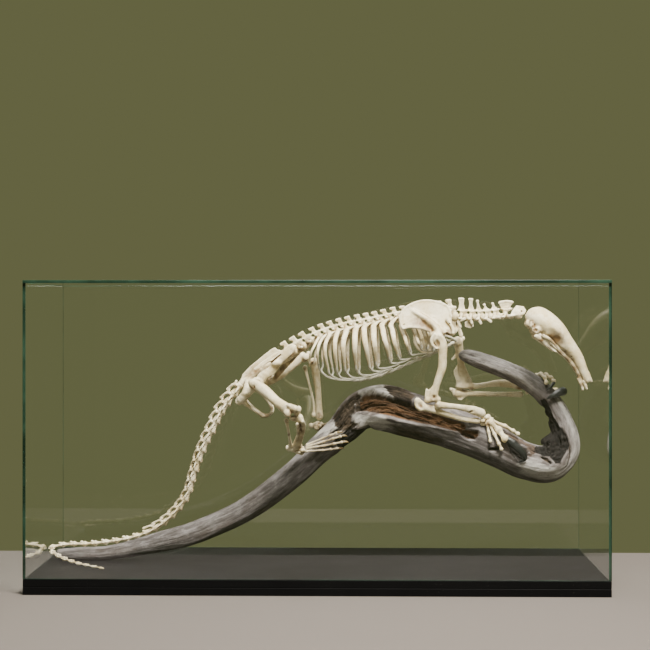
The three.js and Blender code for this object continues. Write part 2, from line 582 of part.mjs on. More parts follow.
// Each digit of a foot as its radius and the places it passes, seen from the front
const FOOT_LIFT = 3.6;
const CLAW_LENGTH = 8;
const footRight = { core: [-22, -21, 154], heel: [-35.6, -22, 156.6], size: [9, 6, 5.4], face: -1, digits: [
  [1.6, [-13, 161], [6, 168.6], [22, 175]],
  [1.8, [-13, 159], [7.4, 164.6], [27, 171]],
  [1.8, [-13, 157], [7.4, 159.6], [28.5, 164]],
  [1.8, [-14, 153.6], [6.2, 154.2], [23, 156.6]],
] };
const footLeft = { core: [0, 28, 179], heel: [-9.6, 29, 179.6], size: [7, 6, 6.2], face: 1, digits: [
  [2, [2, 181], [12, 183], [25, 190.5]],
  [2.4, [3, 179], [14, 178], [30, 186]],
  [2.4, [3, 177], [14, 171.5], [31, 177]],
  [2.2, [2, 175], [11, 165], [27, 167]],
] };
for (const [label, foot] of [['r', footRight], ['l', footLeft]]) {
  const grip = ([x, z]) => onWood(x, z, foot.face, FOOT_LIFT);
  const digits = foot.digits.map(([radius, [x, z], knuckle, end]) => (
    [radius, [x, foot.core[1], z], grip(knuckle), grip(end)]
  ));
  const ankle = paw(foot.core, foot.size, digits);
  const heel = bone([foot.heel, foot.core], [2.8, 3], [3.4, 3.6], { side: FRONT }, 5, 3);
  addPiece(`foot_${label}`, ankle.add(heel.subtract(woodRoom)), BONE);
  foot.digits.forEach(([, , knuckle, end], i) => {
    const way = new THREE.Vector2(end[0] - knuckle[0], end[1] - knuckle[1]).normalize();
    const stops = [1.6, CLAW_LENGTH * 0.5, CLAW_LENGTH].map((far, k) => onWood(
      end[0] + way.x * far, end[1] + way.y * far - k, foot.face, FOOT_LIFT - k * 0.6,
    ));
    addPiece(`claw_foot_${label}_${i + 1}`, claw(stops, 1.9), HORN);
  });
}

export default model;
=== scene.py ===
import json
import math

import bpy
import numpy as np
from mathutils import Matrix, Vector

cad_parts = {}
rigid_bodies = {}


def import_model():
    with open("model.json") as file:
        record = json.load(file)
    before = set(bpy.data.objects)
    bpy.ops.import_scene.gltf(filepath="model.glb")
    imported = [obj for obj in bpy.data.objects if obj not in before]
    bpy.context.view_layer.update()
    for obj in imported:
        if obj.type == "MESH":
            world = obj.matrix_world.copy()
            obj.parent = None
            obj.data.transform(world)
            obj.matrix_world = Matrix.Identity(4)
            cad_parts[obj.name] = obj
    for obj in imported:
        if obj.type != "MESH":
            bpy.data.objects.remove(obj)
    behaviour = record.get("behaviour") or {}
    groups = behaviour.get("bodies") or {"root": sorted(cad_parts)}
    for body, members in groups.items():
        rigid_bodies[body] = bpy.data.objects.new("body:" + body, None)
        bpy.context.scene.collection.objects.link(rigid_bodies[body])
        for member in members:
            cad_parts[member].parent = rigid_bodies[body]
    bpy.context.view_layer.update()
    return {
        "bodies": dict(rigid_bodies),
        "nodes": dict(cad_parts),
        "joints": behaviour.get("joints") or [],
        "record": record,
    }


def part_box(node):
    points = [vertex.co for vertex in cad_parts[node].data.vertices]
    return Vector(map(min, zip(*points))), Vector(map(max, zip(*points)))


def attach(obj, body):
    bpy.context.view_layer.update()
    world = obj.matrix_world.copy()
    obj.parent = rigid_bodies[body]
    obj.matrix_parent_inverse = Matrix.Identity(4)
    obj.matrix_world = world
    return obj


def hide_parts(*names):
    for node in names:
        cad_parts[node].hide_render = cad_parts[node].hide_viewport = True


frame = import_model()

import openvdb

# Base board: two layers of flat board glued face to face and painted satin black, with a fine
# groove where the layers meet and softened edges. The log is fixed to it and the glass stands on it.
MM = 0.001
BOARD_CORNER = 1.2
BOARD_EDGE = 0.7
BOARD_GROOVE = 0.5


def rounded_rectangle(width, depth, corner, steps=6):
    """The outline of a rectangle with round corners, anticlockwise."""
    turn = np.linspace(0, math.pi / 2, steps)
    quarters = []
    for k, (right, back) in enumerate([(1, 1), (-1, 1), (-1, -1), (1, -1)]):
        angle = turn + k * math.pi / 2
        arc = corner * np.column_stack([np.cos(angle), np.sin(angle)])
        quarters.append(arc + [right * (width / 2 - corner), back * (depth / 2 - corner)])
    return np.vstack(quarters)


def skin_over(name, rings, smooth=True):
    """A closed mesh over a row of rings, given in millimetres, with a point in the middle of each end."""
    count, sides = rings.shape[:2]
    points = np.vstack([rings.reshape(-1, 3), rings[0].mean(0), rings[-1].mean(0)])
    this = np.arange(sides)
    after = np.roll(this, -1)
    quads = [np.column_stack([k + this, k + after, k + sides + after, k + sides + this])
             for k in range(0, (count - 1) * sides, sides)]
    last = (count - 1) * sides
    near = np.column_stack([after, this, np.full(sides, count * sides)])
    far = np.column_stack([last + this, last + after, np.full(sides, count * sides + 1)])
    mesh = bpy.data.meshes.new(name)
    mesh.from_pydata(points * MM, [], np.vstack(quads).tolist() + near.tolist() + far.tolist())
    mesh.polygons.foreach_set("use_smooth", [smooth] * len(mesh.polygons))
    mesh.update()
    return mesh


def add_piece(mesh, finish, slot, *nodes):
    """Stands a finished mesh in the frame in place of the CAD nodes that it shows."""
    mesh.materials.clear()
    mesh.materials.append(finish)
    piece = bpy.data.objects.new(mesh.name, mesh)
    bpy.context.scene.collection.objects.link(piece)
    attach(piece, "root")
    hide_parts(*nodes)


class Tone:
    """A shader socket. Sums on it add Math nodes, and make() adds any other node."""

    def __init__(self, tree, socket=None):
        self.tree = tree
        self.socket = socket

    def make(self, kind, settings=(), links=(), out=None):
        """Adds a node with its settings and inputs, and returns one of its outputs."""
        node = self.tree.nodes.new(kind)
        for name, value in dict(settings).items():
            setattr(node, name, value)
        for name, value in dict(links).items():
            open_sockets = [s for s in node.inputs if not s.is_unavailable]
            target = node.inputs[name] if isinstance(name, int) else next(
                s for s in open_sockets if s.name == name)
            if isinstance(value, Tone):
                self.tree.links.new(value.socket, target)
            else:
                target.default_value = value
        shown = [s for s in node.outputs if not s.is_unavailable]
        return Tone(self.tree, next(s for s in shown if out in (None, s.name)))

    def sum(self, operation, one, other):
        """A Math node on two values."""
        return self.make("ShaderNodeMath", {"operation": operation}, {0: one, 1: other})

    def __add__(self, other):
        return self.sum("ADD", self, other)

    def __radd__(self, other):
        return self.sum("ADD", other, self)

    def __sub__(self, other):
        return self.sum("SUBTRACT", self, other)

    def __rsub__(self, other):
        return self.sum("SUBTRACT", other, self)

    def __mul__(self, other):
        return self.sum("MULTIPLY", self, other)

    def __rmul__(self, other):
        return self.sum("MULTIPLY", other, self)

    def rise(self, low, high):
        """0 below the low value and 1 above the high one, with a smooth rise between."""
        return self.make("ShaderNodeMapRange", {"interpolation_type": "SMOOTHSTEP"},
                         {"Value": self, "From Min": low, "From Max": high})

    def blend(self, one, other):
        """One colour where this is 0, the other where it is 1."""
        return self.make("ShaderNodeMix", {"data_type": "RGBA"}, {"Factor": self, "A": one, "B": other})


def paint(red, green, blue):
    """A colour as it is seen, in steps of 255, as the shader's own light values."""
    seen = np.array([red, green, blue]) / 255
    light = np.where(seen < 0.04045, seen / 12.92, ((seen + 0.055) / 1.055) ** 2.4)
    return (*light.tolist(), 1.0)


def new_finish(name, roughness, specular=0.5):
    """A material with a plain shader, and the pen that draws its nodes."""
    finish = bpy.data.materials.new(name)
    finish.use_nodes = True
    shader = finish.node_tree.nodes["Principled BSDF"]
    shader.inputs["Roughness"].default_value = roughness
    shader.inputs["Specular IOR Level"].default_value = specular
    return finish, Tone(finish.node_tree)


def feed(finish, **links):
    """Joins tones to the shader's sockets, named with _ for a space."""
    shader = finish.node_tree.nodes["Principled BSDF"]
    for name, tone in links.items():
        finish.node_tree.links.new(tone.socket, shader.inputs[name.replace("_", " ")])


def noise(pen, place, size, detail=3.0, rough=0.5):
    """Cloudy noise from 0 to 1, with clouds of a given size in metres."""
    return pen.make("ShaderNodeTexNoise", {},
                    {"Vector": place, "Scale": 1 / size, "Detail": detail, "Roughness": rough}, "Fac")


def bumped(pen, height, depth, strength):
    """A normal from a height between 0 and 1 that stands for a depth in metres."""
    return pen.make("ShaderNodeBump", {}, {"Height": height, "Distance": depth, "Strength": strength})


def stretched(pen, place, scale):
    """A place with its three axes scaled apart."""
    return pen.make("ShaderNodeMapping", {}, {"Vector": place, "Scale": scale})


def own_place(pen):
    """The place on a piece, in its own axes."""
    return pen.make("ShaderNodeTexCoord", {}, {}, "Object")


black_paint, pen = new_finish("black_paint", 0.5, 0.05)
spot = own_place(pen)
cloud = noise(pen, spot, 0.06)
roller = noise(pen, spot, 0.0012, 2)
dust = noise(pen, spot, 0.0022, 1).rise(0.66, 0.8) * noise(pen, spot, 0.035).rise(0.4, 0.7)
feed(black_paint,
     Base_Color=(dust * 0.3).blend(cloud.blend(paint(9, 9, 9), paint(15, 15, 15)), paint(70, 68, 64)),
     Roughness=0.42 + cloud * 0.14 + dust * 0.25,
     Normal=bumped(pen, roller, 0.00012, 0.5))

board_low, board_high = (np.array(corner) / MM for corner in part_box("base_board"))
board_size = board_high - board_low
seam_height = board_size[2] / 2
board_profile = [(0, BOARD_EDGE), (0.3 * BOARD_EDGE, 0.3 * BOARD_EDGE), (BOARD_EDGE, 0),
                 (seam_height - BOARD_GROOVE, 0), (seam_height, BOARD_GROOVE),
                 (seam_height + BOARD_GROOVE, 0), (board_size[2] - BOARD_EDGE, 0),
                 (board_size[2] - 0.3 * BOARD_EDGE, 0.3 * BOARD_EDGE), (board_size[2], BOARD_EDGE)]
board_rings = []
for height, inset in board_profile:
    outline = rounded_rectangle(board_size[0] - 2 * inset, board_size[1] - 2 * inset, BOARD_CORNER)
    board_rings.append(np.column_stack([outline, np.full(len(outline), height)]))
add_piece(skin_over("painted_board", np.array(board_rings), False), black_paint, "black_board",
          "base_board")

# Driftwood: one weathered log that lies along the board, climbs to a broken hump and hooks back over
# itself. The sapwood is bleached silver, its heart has rotted out in a long brown trough on the near
# side, and the bend of the hook is burnt black. Each stop has the place of its heart and its radius.
LOG_STOPS = [
    (-318, 17, 25, 5.5), (-289, 17, 25.5, 8), (-258, 17, 26.5, 8.6), (-228, 16, 32, 9.8),
    (-191, 15, 41, 11.6), (-155, 14, 50, 12.8), (-125, 13, 62, 13.2), (-88, 11, 80, 13.6),
    (-56, 9, 102, 14), (-26, 8, 126, 15), (0, 6, 151.5, 16.6), (26, 4, 173, 19.4), (54, 3, 199.4, 24),
    (80, 1, 203.6, 26.8), (110, 0, 195, 26), (145, -1, 184, 24), (181, -2, 171, 23), (217, -2, 156, 23),
    (247, -2, 142, 22.4), (275, -2, 138, 22), (293.4, -1, 153.4, 17.4), (292.6, 0, 174, 16.4),
    (285.4, 2, 197.4, 13.4), (272, 4, 218, 12.4), (253.4, 6, 234.2, 12), (227, 8, 248, 11),
    (200, 9, 257.8, 10.8), (180, 9, 264.6, 8.8), (168, 9, 267, 4.6),
]
LOG_RINGS = 590
LOG_SIDES = 160
FRONT = np.array([0.0, -1.0, 0.0])
LOOP_MIDDLE = np.array([243.0, 6.0, 196.0])
# Outlines on the near face, as x and z: the rotted trough and the hole at its end, its dark upper edge,
# the splintered break and the burnt hollow under it, two stains, the hollow by the near hand with the rot
# beside it, a slit, the burnt bend, three cracks, and the places that the weather has bleached most.
TROUGH = [(49, 221), (57, 224), (68, 224), (80, 221), (89, 217), (97, 214), (110, 211), (127, 204),
          (144, 199), (162, 192), (174, 188), (176, 185), (175, 180), (167, 177), (150, 181), (132, 185),
          (111, 189), (95, 191), (79, 195), (64, 199), (52, 200), (48, 202), (46, 210)]
END_HOLE = [(166, 178), (175, 180), (190, 179), (190, 173), (184, 168), (177, 168), (171, 172)]
DARK_EDGE = [(79, 233), (98, 229), (114, 222), (114, 213), (110, 212), (97, 214), (90, 219), (81, 226)]
BREAK = [(45, 225), (50, 222), (46, 215), (44, 204), (43, 199), (39, 195), (40, 188), (46, 183), (40, 179),
         (26, 177), (14, 174), (24, 180), (19, 187), (12, 192), (2, 190), (12, 200), (24, 210), (35, 219)]
UNDER_BREAK = [(66, 180), (52, 178), (40, 179), (31, 174), (19, 167), (24, 156), (36, 148), (50, 160),
               (60, 170)]
STAIN = [(87, 184), (95, 183), (109, 178), (126, 175), (140, 170), (146, 164), (126, 160), (108, 162),
         (96, 172)]
HOOK_STAIN = [(188, 254), (203, 257), (217, 250), (212, 243), (196, 246)]
HAND_HOLLOW = [(224, 165), (229, 167), (237, 166), (243, 160), (249, 154), (246, 145), (236, 140),
               (235, 145), (229, 153)]
ROT_TIP = [(222, 177), (238, 175), (252, 170), (258, 163), (260, 156), (255, 149), (248, 146), (248, 155),
           (244, 162), (234, 167), (225, 169)]
SLIT = [(201, 157), (212, 159), (216, 157), (211, 154), (202, 155)]
BURNT_BEND = [(265, 218), (273, 214), (277, 203), (278, 194), (283, 189), (291, 181), (295, 171),
              (298, 160), (293, 153), (288, 146), (286, 139), (280, 140), (273, 148), (265, 148),
              (259, 152), (257, 156), (262, 170), (268, 190)]
CRACKS = [[(261, 149), (268, 148), (276, 140), (274, 138), (267, 144)],
          [(43, 219), (48, 220), (49, 202), (45, 199)],
          [(298, 164), (300, 154), (298.6, 144), (295, 137), (296.4, 145), (297.4, 155)]]
BLEACHED = [[(40, 197), (48, 198), (64, 195), (83, 191), (97, 185), (90, 180), (74, 177), (57, 180),
             (45, 186)],
            [(44, 225), (57, 232), (79, 234), (90, 222), (95, 216), (83, 220), (64, 225), (55, 224),
             (50, 217), (45, 218)],
            [(3, 188), (19, 189), (26, 182), (14, 175), (-4, 170)],
            [(236, 139), (250, 145), (263, 143), (276, 136), (288, 132), (284, 122), (262, 122),
             (244, 129)]]


def curve_through(stops, steps):
    """A smooth line through a row of places, with the same number of steps between each two of them."""
    stops = np.array(stops, float)
    rows = np.vstack([2 * stops[0] - stops[1], stops, 2 * stops[-1] - stops[-2]])
    gap = np.sqrt(np.linalg.norm(np.diff(rows[:, :3], axis=0), axis=1))[:, None]
    before, here, after, beyond = rows[:-3], rows[1:-2], rows[2:-1], rows[3:]
    g0, g1, g2 = gap[:-2], gap[1:-1], gap[2:]
    leave = ((here - before) / g0 - (after - before) / (g0 + g1) + (after - here) / g1) * g1
    arrive = ((after - here) / g1 - (beyond - here) / (g1 + g2) + (beyond - after) / g2) * g1
    line = []
    for t in np.arange(steps) / steps:
        line.append(here + leave * t + (3 * (after - here) - 2 * leave - arrive) * t**2
                    + (leave + arrive - 2 * (after - here)) * t**3)
    return np.vstack([np.stack(line, 1).reshape(-1, stops.shape[1]), stops[-1]])


def run_of(line):
    """The distance along a line at each of its points."""
    return np.concatenate([[0], np.cumsum(np.linalg.norm(np.diff(line[:, :3], axis=0), axis=1))])


def stretch_of(line, start, end, count=40):
    """The part of a line between two distances along it, in even steps."""
    run = run_of(line)
    at = np.linspace(start, end, count)
    return np.column_stack([np.interp(at, run, column) for column in line.T])


def spaced(line, count):
    """A line's points again, an even distance apart."""
    return stretch_of(line, 0, run_of(line)[-1], count)


def unit(vectors):
    """Vectors with their length made one."""
    return vectors / np.linalg.norm(vectors, axis=-1, keepdims=True)


def lumps(places, size, seed):
    """Smooth random bumps from -1 to 1, of a given size, at each place."""
    spots = places / np.array(size)
    cell = np.floor(spots).astype(np.int64)
    part = spots - cell
    part = part * part * (3 - 2 * part)
    total = 0
    for corner in np.ndindex(2, 2, 2):
        key = ((cell + corner) * [73856093, 19349663, 83492791]).sum(-1) + seed * 2654435761
        key = (key ^ (key >> 13)) * 1274126177 & 0xFFFFFFFF
        key = (key ^ (key >> 16)) & 0xFFFF
        weight = np.where(corner, part, 1 - part).prod(-1)
        total = total + weight * (key / 32767.5 - 1)
    return total


def depth_inside(outline, x, z):
    """How far each place lies inside a closed outline, below zero where it lies outside."""
    corners = np.array(outline, float)
    nearest = np.full(x.shape, np.inf)
    within = np.zeros(x.shape, bool)
    for (ax, az), (bx, bz) in zip(corners, np.roll(corners, -1, 0)):
        t = np.clip(((x - ax) * (bx - ax) + (z - az) * (bz - az)) / ((bx - ax) ** 2 + (bz - az) ** 2), 0, 1)
        nearest = np.minimum(nearest, np.hypot(x - ax - t * (bx - ax), z - az - t * (bz - az)))
        crosses = (az > z) != (bz > z)
        slope = (bx - ax) / (bz - az) if bz != az else 0
        within ^= crosses & (x < ax + slope * (z - az))
    return np.where(within, nearest, -nearest)


def rise(value, low, high):
    """0 below the low value and 1 above the high one, with a smooth rise between."""
    t = np.clip((value - low) / (high - low), 0, 1)
    return t * t * (3 - 2 * t)


log_line = curve_through(LOG_STOPS, 24)
log_line = spaced(np.column_stack([log_line, np.linspace(0, 1, len(log_line))]), LOG_RINGS)
heart, log_radius, log_share = log_line[:, None, :3], log_line[:, 3:4], log_line[:, 4:5]
log_run = run_of(log_line)[:, None]
forward = unit(np.gradient(log_line[:, :3], axis=0))
inner = unit(np.cross(FRONT, forward))
near_side = np.cross(forward, inner)
angle = np.linspace(0, 2 * math.pi, LOG_SIDES, endpoint=False)[None]
outward = np.cos(angle)[..., None] * near_side[:, None] + np.sin(angle)[..., None] * inner[:, None]

weathered = 1.02 + 0.04 * np.sin(2 * angle + 21 * log_share) + 0.03 * np.sin(5 * angle - 34 * log_share)
reach = log_radius * weathered
tip = np.minimum(log_run, log_run[-1] - log_run) / (0.9 * log_radius)
round_end = np.sqrt(1 - (1 - np.clip(tip, 0.002, 1)) ** 2)
grain = np.stack([reach * np.cos(angle), reach * np.sin(angle), log_run + 0 * angle], -1)
ragged = lumps(grain, [5, 5, 16], 1) * 2.4 + lumps(grain, [2, 2, 7], 2) * 1.1
seen = heart + outward * reach[..., None]
near = rise(outward @ FRONT, -0.25, 0.15)


def patch(outline, soft, spread=1.0):
    """A share from 0 to 1 that fills an outline on the near face, with a ragged edge."""
    return rise(depth_inside(outline, seen[..., 0], seen[..., 2]) + spread * ragged, -soft, soft) * near


trough, dark_edge, broken = patch(TROUGH, 1.2, 0.7), patch(DARK_EDGE, 2), patch(BREAK, 3, 1.4)
end_hole, rot_tip, slit = patch(END_HOLE, 1.2, 0.6), patch(ROT_TIP, 2.2), patch(SLIT, 1, 0.4)
hand_hollow = patch(HAND_HOLLOW, 1.6, 0.5)
stain = np.maximum(patch(STAIN, 8, 1.5), 0.6 * patch(HOOK_STAIN, 6, 1.5))
cracks = np.max([patch(outline, 1, 0.45) for outline in CRACKS], axis=0)
bleached = np.max([patch(outline, 6, 1.5) for outline in BLEACHED], axis=0)
# How far each face points down. The finish paints the underside darker from this share as painted shade.
under = rise(-(outward @ [0, 0, 1.0]), 0.2, 0.95)
# Under the hump the whole underside is painted soot black along with the burnt hollow, as painted shade.
under_break = np.maximum(patch(UNDER_BREAK, 2.5, 1.2),
                         under * rise(log_share, 0.372, 0.39) * rise(-log_share, -0.44, -0.42))

to_loop = (outward * unit(LOOP_MIDDLE - heart)).sum(-1)
in_bend = rise(log_share, 0.655, 0.69) * rise(-log_share, -0.825, -0.8)
inner_side = in_bend * rise(to_loop + 0.08 * ragged, 0.34, 0.6)
burnt = np.maximum(patch(BURNT_BEND, 2.0), inner_side)
on_hook = rise(log_share, 0.82, 0.86)
# The outer side of the bend, which faces the key lamp, is painted paler: partly bleaching, partly painted
# light.
bleached = np.maximum(bleached, in_bend * rise(-to_loop + 0.05 * ragged, 0.0, 0.5) * (1 - burnt) * 0.6)
# The hook is painted paler on all but its underside.
bleached = np.maximum(bleached, 0.45 * on_hook * (1 - under))
spur = rise(-np.hypot(seen[..., 0] - 277, seen[..., 2] - 163), -12, -3) * rise(to_loop, 0.3, 0.7)

# How far each mark raises or sinks the wood, in millimetres.
swell = lumps(grain, [14, 14, 70], 3) * 0.9 + lumps(grain, [6, 6, 30], 4) * 0.45
fibre = np.abs(lumps(grain, [2.4, 2.4, 46], 5))
fine = np.abs(lumps(grain, [1.5, 1.5, 24], 6))
splinter = np.abs(lumps(grain, [3.4, 3.4, 30], 7))
crater = np.abs(lumps(grain, [4.5, 4.5, 8], 8))
flake = np.abs(lumps(grain, [2.2, 2.2, 5], 9))
reach = reach + swell * np.clip(log_radius / 14, 0.5, 1.2) - 0.5 * fibre - 0.25 * fine
reach = reach - trough * (7.5 + 1.8 * splinter + 1.2 * fine + 2.6 * flake + 2 * ragged.clip(-1, 1))
reach = reach - broken * (1 + 3 * splinter + 3.4 * flake) - dark_edge * (1 - trough) * (0.6 + 1.8 * fibre)
reach = reach - under_break * (2 + 3.5 * crater + 2 * splinter) - end_hole * (1 - trough) * (5 + 3 * flake)
reach = reach - hand_hollow * (11 + 3 * crater) - slit * 6 - cracks * 4.5
reach = reach - stain * 0.7 - rot_tip * (1.5 + 4 * flake)
reach = reach - burnt * (0.4 + 3.6 * crater + 1.8 * flake) * (1 - 0.6 * spur) + spur * (6 + 9 * splinter)
reach = reach - 0.8 * bleached * rise(flake, 0.5, 0.8)
lip = patch(TROUGH, 7, 0) * (1 - patch(TROUGH, 2.5, 0.3))
reach = reach + 1.5 * lip
log_skin = heart + outward * (reach * round_end)[..., None]
log_skin[..., 2] = np.maximum(log_skin[..., 2], board_high[2] + 0.1)


def give(mesh, name, values):
    """Stores a number or a vector for each point of a mesh."""
    values = np.asarray(values, np.float32)
    kind, field = ("FLOAT", "value") if values.ndim == 1 else ("FLOAT_VECTOR", "vector")
    mesh.attributes.new(name, kind, "POINT").data.foreach_set(field, values.ravel())


def with_ends(values):
    """Ring values with those of the two end points after them."""
    flat = values.reshape(-1, *values.shape[2:])
    return np.concatenate([flat, flat[:1], flat[-1:]])


log_mesh = skin_over("weathered_log", log_skin)
log_mesh.flip_normals()
give(log_mesh, "grain", with_ends(grain) * MM)
give(log_mesh, "rot", with_ends(np.max([trough, 0.75 * dark_edge, end_hole, 0.55 * rot_tip], axis=0)))
dark_marks_and_underside_shade = broken + dark_edge * 0.9 + stain * 0.55 + slit + cracks + 0.4 * rot_tip
# The underside is painted darker here as painted shade, less so on the hook.
dark_marks_and_underside_shade = dark_marks_and_underside_shade + 0.45 * under * (1 - 0.85 * on_hook)
give(log_mesh, "dark", with_ends(np.clip(dark_marks_and_underside_shade, 0, 1)))
# The burnt share also paints the deep hollow by the near hand and the underside of the hump soot black as
# painted shade.
give(log_mesh, "burnt", with_ends(np.clip(burnt + hand_hollow + under_break, 0, 1)))
give(log_mesh, "bleached", with_ends(bleached))


def stored(pen, name, out="Fac"):
    """What a mesh holds under a name at each of its points."""
    return pen.make("ShaderNodeAttribute", {"attribute_name": name}, {}, out)


old_wood, pen = new_finish("old_wood", 0.85, 0.12)
place = stored(pen, "grain", "Vector")
rot = stored(pen, "rot")
dark = stored(pen, "dark")
burnt_and_shaded = stored(pen, "burnt")
bare = stored(pen, "bleached")
long_grain = stretched(pen, place, (1, 1, 0.07))
streak = noise(pen, long_grain, 0.005, 4, 0.6)
hair = noise(pen, long_grain, 0.0011, 3, 0.6)
cloud = noise(pen, stretched(pen, place, (1, 1, 0.4)), 0.03, 3)
speck = noise(pen, place, 0.0024, 2)
pit = noise(pen, stretched(pen, place, (1, 1, 0.6)), 0.0026, 3, 0.7)
mottle = noise(pen, stretched(pen, place, (1, 1, 0.35)), 0.0045, 4, 0.7)
silver = streak.rise(0.3, 0.7).blend(paint(76, 70, 69), paint(122, 116, 115))
silver = (mottle.rise(0.5, 0.68) * 0.55).blend(silver, paint(146, 140, 139))
silver = ((1 - mottle).rise(0.52, 0.68) * 0.55).blend(silver, paint(58, 52, 50))
silver = (cloud.rise(0.45, 0.75) * 0.5).blend(silver, paint(96, 82, 74))
worn = (bare + (streak - 0.5) * 0.7 + (mottle - 0.5) * 0.7).rise(0.2, 1.0)
silver = worn.blend(silver, paint(174, 169, 164))
silver = (hair.rise(0.5, 0.75) * 0.5).blend(silver, paint(48, 42, 39))
silver = (pit.rise(0.58, 0.72) * (0.35 + 0.5 * bare)).blend(silver, paint(44, 38, 35))
silver = (speck.rise(0.62, 0.8) * 0.35).blend(silver, paint(168, 162, 157))
brown = streak.rise(0.35, 0.65).blend(paint(40, 28, 20), paint(86, 60, 40))
brown = (speck.rise(0.5, 0.75) * 0.4).blend(brown, paint(112, 88, 66))
brown = (hair.rise(0.48, 0.72) * 0.5).blend(brown, paint(40, 29, 21))
soot_and_shade_black = speck.rise(0.4, 0.8).blend(paint(7, 6, 6), paint(34, 29, 26))
char = (streak + pit * 0.8).rise(0.72, 1.1).blend(paint(24, 19, 16), paint(74, 63, 53))
weather = rot.rise(0.25, 0.75).blend(silver, brown)
weather = (dark + (streak - 0.5) * 0.5 + (hair - 0.5) * 0.4).rise(0.15, 0.85).blend(weather, char)
# Soot black covers the burnt wood, and is also painted shade in the hollow by the hand and under the hump.
weather = (burnt_and_shaded.rise(0.3, 0.8) * 0.94).blend(weather, soot_and_shade_black)
feed(old_wood, Base_Color=weather, Roughness=0.78 + 0.16 * hair,
     Normal=bumped(pen, streak * 0.6 + hair * 0.5 + speck * 0.2 - pit.rise(0.55, 0.7) * 0.3, 0.0009, 0.8))
add_piece(log_mesh, old_wood, "driftwood", "driftwood")

# Neck: seven separate vertebrae wired close together. The first is a low ring with broad wings, the
# second carries a tall fan, and the rest have ever taller spines. All the bones are boiled and bleached
# to ivory. Their hollows are painted tan, partly dried residue and partly painted shade, and their
# convex edges are painted paler as painted light.
BACKBONE_STOPS = [
    (243, -33, 312), (222, -30, 314), (191, -26, 312), (158, -22, 313), (133, -20, 312), (97, -18, 310),
    (68, -16, 304), (32, -14, 296), (-2, -12, 285), (-33, -10, 267), (-63, -8, 250), (-90, -8, 233),
]
NECK_END, CHEST_END, LOIN_END = 82.0, 253.0, 289.5
CHEST_BONES, LOIN_BONES = 16, 3
UP = np.array([0.0, 0.0, 1.0])


def between(stops, share):
    """A value read between evenly spaced stops, at a share from 0 to 1."""
    return np.interp(share, np.linspace(0, 1, len(stops)), stops)


